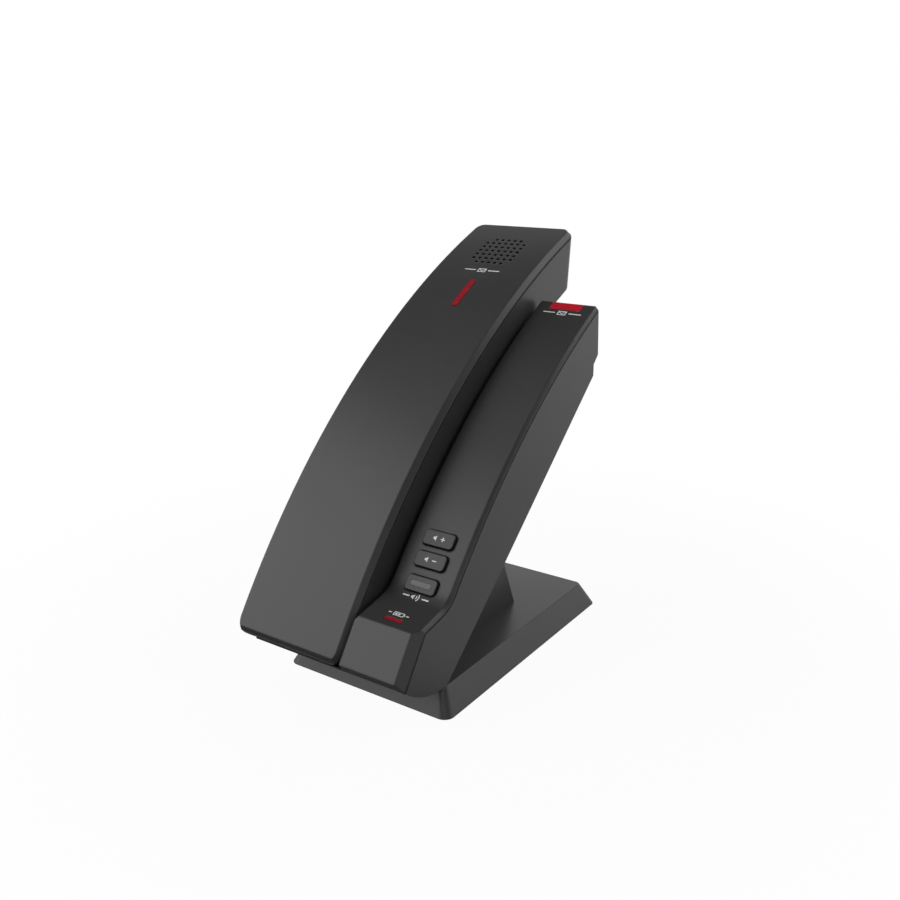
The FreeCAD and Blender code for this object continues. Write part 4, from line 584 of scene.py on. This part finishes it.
def laid_on(sign, frame_at, node, body, ink):
    """Puts a flat sign in its place, with each corner on the surface of a CAD node, gives it
    its ink and fixes it to its body."""
    surface = nodes[node]
    inward = surface.matrix_world.inverted()
    out = frame_at.to_3x3() @ Vector((0, 0, 1))
    for corner in sign.data.vertices:
        above = frame_at @ Vector((corner.co.x, corner.co.y, 4 * mm))
        hit, spot, _, _ = surface.ray_cast(inward @ above, inward.to_3x3() @ -out)
        assert hit, sign.name
        corner.co = surface.matrix_world @ spot + out * corner.co.z
    sign.data.materials.clear()
    sign.data.materials.append(ink)
    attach(sign, body)


def printed(name, strokes, frame_at, body, ink=white_ink, node=None):
    """A sign drawn from lines and arcs, thickened, and laid on its node."""
    bpy.ops.object.select_all(action="DESELECT")
    for stroke in strokes:
        bpy.ops.mesh.primitive_plane_add(size=mm, location=(0, 0, 0))
        if stroke is strokes[0]:
            bpy.context.object.name = name
            bpy.ops.object.mode_set(mode="EDIT")
        stroke()
        bpy.ops.mesh.select_all(action="DESELECT")
    bpy.ops.mesh.select_all(action="SELECT")
    bpy.ops.mesh.remove_doubles(threshold=weld)
    bpy.ops.mesh.extrude_region_move(
        TRANSFORM_OT_translate={"value": (0, 0, ink_thickness)})
    bpy.ops.mesh.select_all(action="SELECT")
    bpy.ops.mesh.normals_make_consistent(inside=False)
    bpy.ops.object.mode_set(mode="OBJECT")
    laid_on(bpy.context.object, frame_at, node or body, body, ink)


def horn(x):
    """A loudspeaker seen from its side, with its mouth at x."""
    return [line(x - 1.2, 0, x - 0.7, 0, 0.84), line(x - 0.7, 0, x, 0, 0.84, end_width=2.0)]


def dashes(inner, outer, width):
    return [line(-outer, 0, -inner, 0, width), line(inner, 0, outer, 0, width)]


def frame_of(half_width, half_height, width):
    """Four lines round a rectangle."""
    edge = width / 2
    return [line(-half_width, side * (half_height - edge), half_width,
                 side * (half_height - edge), width) for side in (-1, 1)] + [
            line(side * (half_width - edge), width - half_height, side * (half_width - edge),
                 half_height - width, width) for side in (-1, 1)]


strip_radius = 0.3214
strip_middle = middle_x("volume_up_button")
louder_place = 0.0491
quieter_place = 0.0575
speaker_place = 0.0717
strip_message_place = -0.0635
handset_message_place = -0.0722

minus = [line(0.85, 0, 2.55, 0, 0.38)]
plus = minus + [line(1.7, 0.19, 1.7, 0.85, 0.38), line(1.7, -0.85, 1.7, -0.19, 0.38)]
waves = [arc(-0.5, 0, 0.9, -42, 42, 0.4), arc(-0.5, 0, 1.8, -42, 42, 0.4)]
envelope = frame_of(1.9, 1.2, 0.4) + [line(-1.5, 0.7, 0, -0.3, 0.36),
                                      line(0, -0.3, 1.5, 0.7, 0.36)]
battery = frame_of(2.1, 0.95, 0.3) + [line(-1.5, 0, -0.6, 0, 0.8), line(-0.3, 0, 0.6, 0, 0.8),
                                      line(2.15, 0, 2.5, 0, 0.7)]
printed("volume_up_sign", horn(-1.0) + plus,
        on_curve(strip_middle, button_radius, louder_place), "volume_up_button")
printed("volume_down_sign", horn(-1.0) + minus,
        on_curve(strip_middle, button_radius, quieter_place), "volume_down_button")
printed("speaker_sign", horn(-0.6) + waves + dashes(2.6, 5.4, 0.5),
        on_curve(strip_middle, strip_radius, speaker_place), "base",
        node="base_top_cover")
printed("base_message_sign", envelope + dashes(3.0, 8.4, 0.55),
        on_curve(strip_middle, strip_radius, strip_message_place), "base",
        node="base_top_cover")
printed("handset_message_sign", envelope + dashes(3.0, 8.4, 0.55),
        on_curve(handset_middle, face_radius, handset_message_place), "handset",
        node="handset_outer_shell")
shelf_slope = Matrix.Rotation(math.radians(12), 4, "X")
shelf_spot = Vector((strip_middle, -0.0584, 0.0366))
printed("charge_sign", battery + dashes(3.0, 4.2, 0.45),
        Matrix.Translation(shelf_spot) @ shelf_slope, "base", node="base_top_cover")

# Fifteen keys on the handset's ear side: mid grey satin caps that stand through the shell. They
# are printed with the digits, a star and a hash in white ink, a green and a red receiver, and a
# round arrow.

key_names = ["talk_key", "redial_key", "end_key", "key_star", "key_hash"] + [
    "key_" + digit for digit in "0123456789"]
key_radius = 0.3100
digit_size = 0.0054
wear(moulded("key_plastic", (0.19, 0.195, 0.205), 0.4, grain=0.5), *key_names)


def key_frame(node):
    """The middle of a key's top, read from the ear side."""
    low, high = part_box(node)
    middle = (low + high) / 2
    slope = math.atan2(curve_y - middle.y, middle.z - curve_z)
    return on_curve(middle.x, key_radius, (slope - middle_slope) * face_radius, ear_side=True)


for face in "1234567890#":
    node = "key_hash" if face == "#" else "key_" + face
    bpy.ops.object.select_all(action="DESELECT")
    bpy.ops.object.text_add()
    digit = bpy.context.object
    digit.name = node + "_sign"
    digit.data.body = face
    digit.data.size = digit_size
    digit.data.align_x = "CENTER"
    digit.data.extrude = ink_thickness / 2
    bpy.ops.object.convert(target="MESH")
    heights = [corner.co.y for corner in bpy.context.object.data.vertices]
    bpy.ops.object.mode_set(mode="EDIT")
    bpy.ops.mesh.select_all(action="SELECT")
    bpy.ops.mesh.remove_doubles(threshold=weld)
    bpy.ops.mesh.normals_make_consistent(inside=False)
    bpy.ops.transform.translate(
        value=(0, -(min(heights) + max(heights)) / 2, ink_thickness / 2))
    bpy.ops.object.mode_set(mode="OBJECT")
    laid_on(bpy.context.object, key_frame(node), node, node, white_ink)


def receiver(turn):
    """A telephone receiver, an arc with two broad ends, turned by an angle in degrees."""
    middle = math.radians(90 + turn)
    x, y = -1.5 * math.cos(middle), -1.5 * math.sin(middle)
    ends = []
    for angle in (24, 156):
        end = math.radians(angle + turn)
        ends.append(line(x + math.cos(end), y + math.sin(end), x + 2.3 * math.cos(end),
                         y + 2.3 * math.sin(end), 0.8))
    return [arc(x, y, 2.0, 24 + turn, 156 + turn, 0.6)] + ends


star = []
for angle in (30, 90, 150):
    x, y = 1.25 * math.cos(math.radians(angle)), 1.25 * math.sin(math.radians(angle))
    star.append(line(-x, -y, x, y, 0.38))
round_arrow = [arc(0, 0, 1.3, 90, 380, 0.4), line(-0.1, 1.3, 1.0, 1.3, 1.3, end_width=0.1)]
printed("key_star_sign", star, key_frame("key_star"), "key_star")
printed("talk_sign", receiver(130), key_frame("talk_key"), "talk_key",
        moulded("green_ink", (0.02, 0.42, 0.07), 0.45, grain=0.4))
printed("end_sign", receiver(0), key_frame("end_key"), "end_key",
        moulded("red_ink", (0.55, 0.015, 0.02), 0.45, grain=0.4))
printed("redial_sign", round_arrow, key_frame("redial_key"), "redial_key")
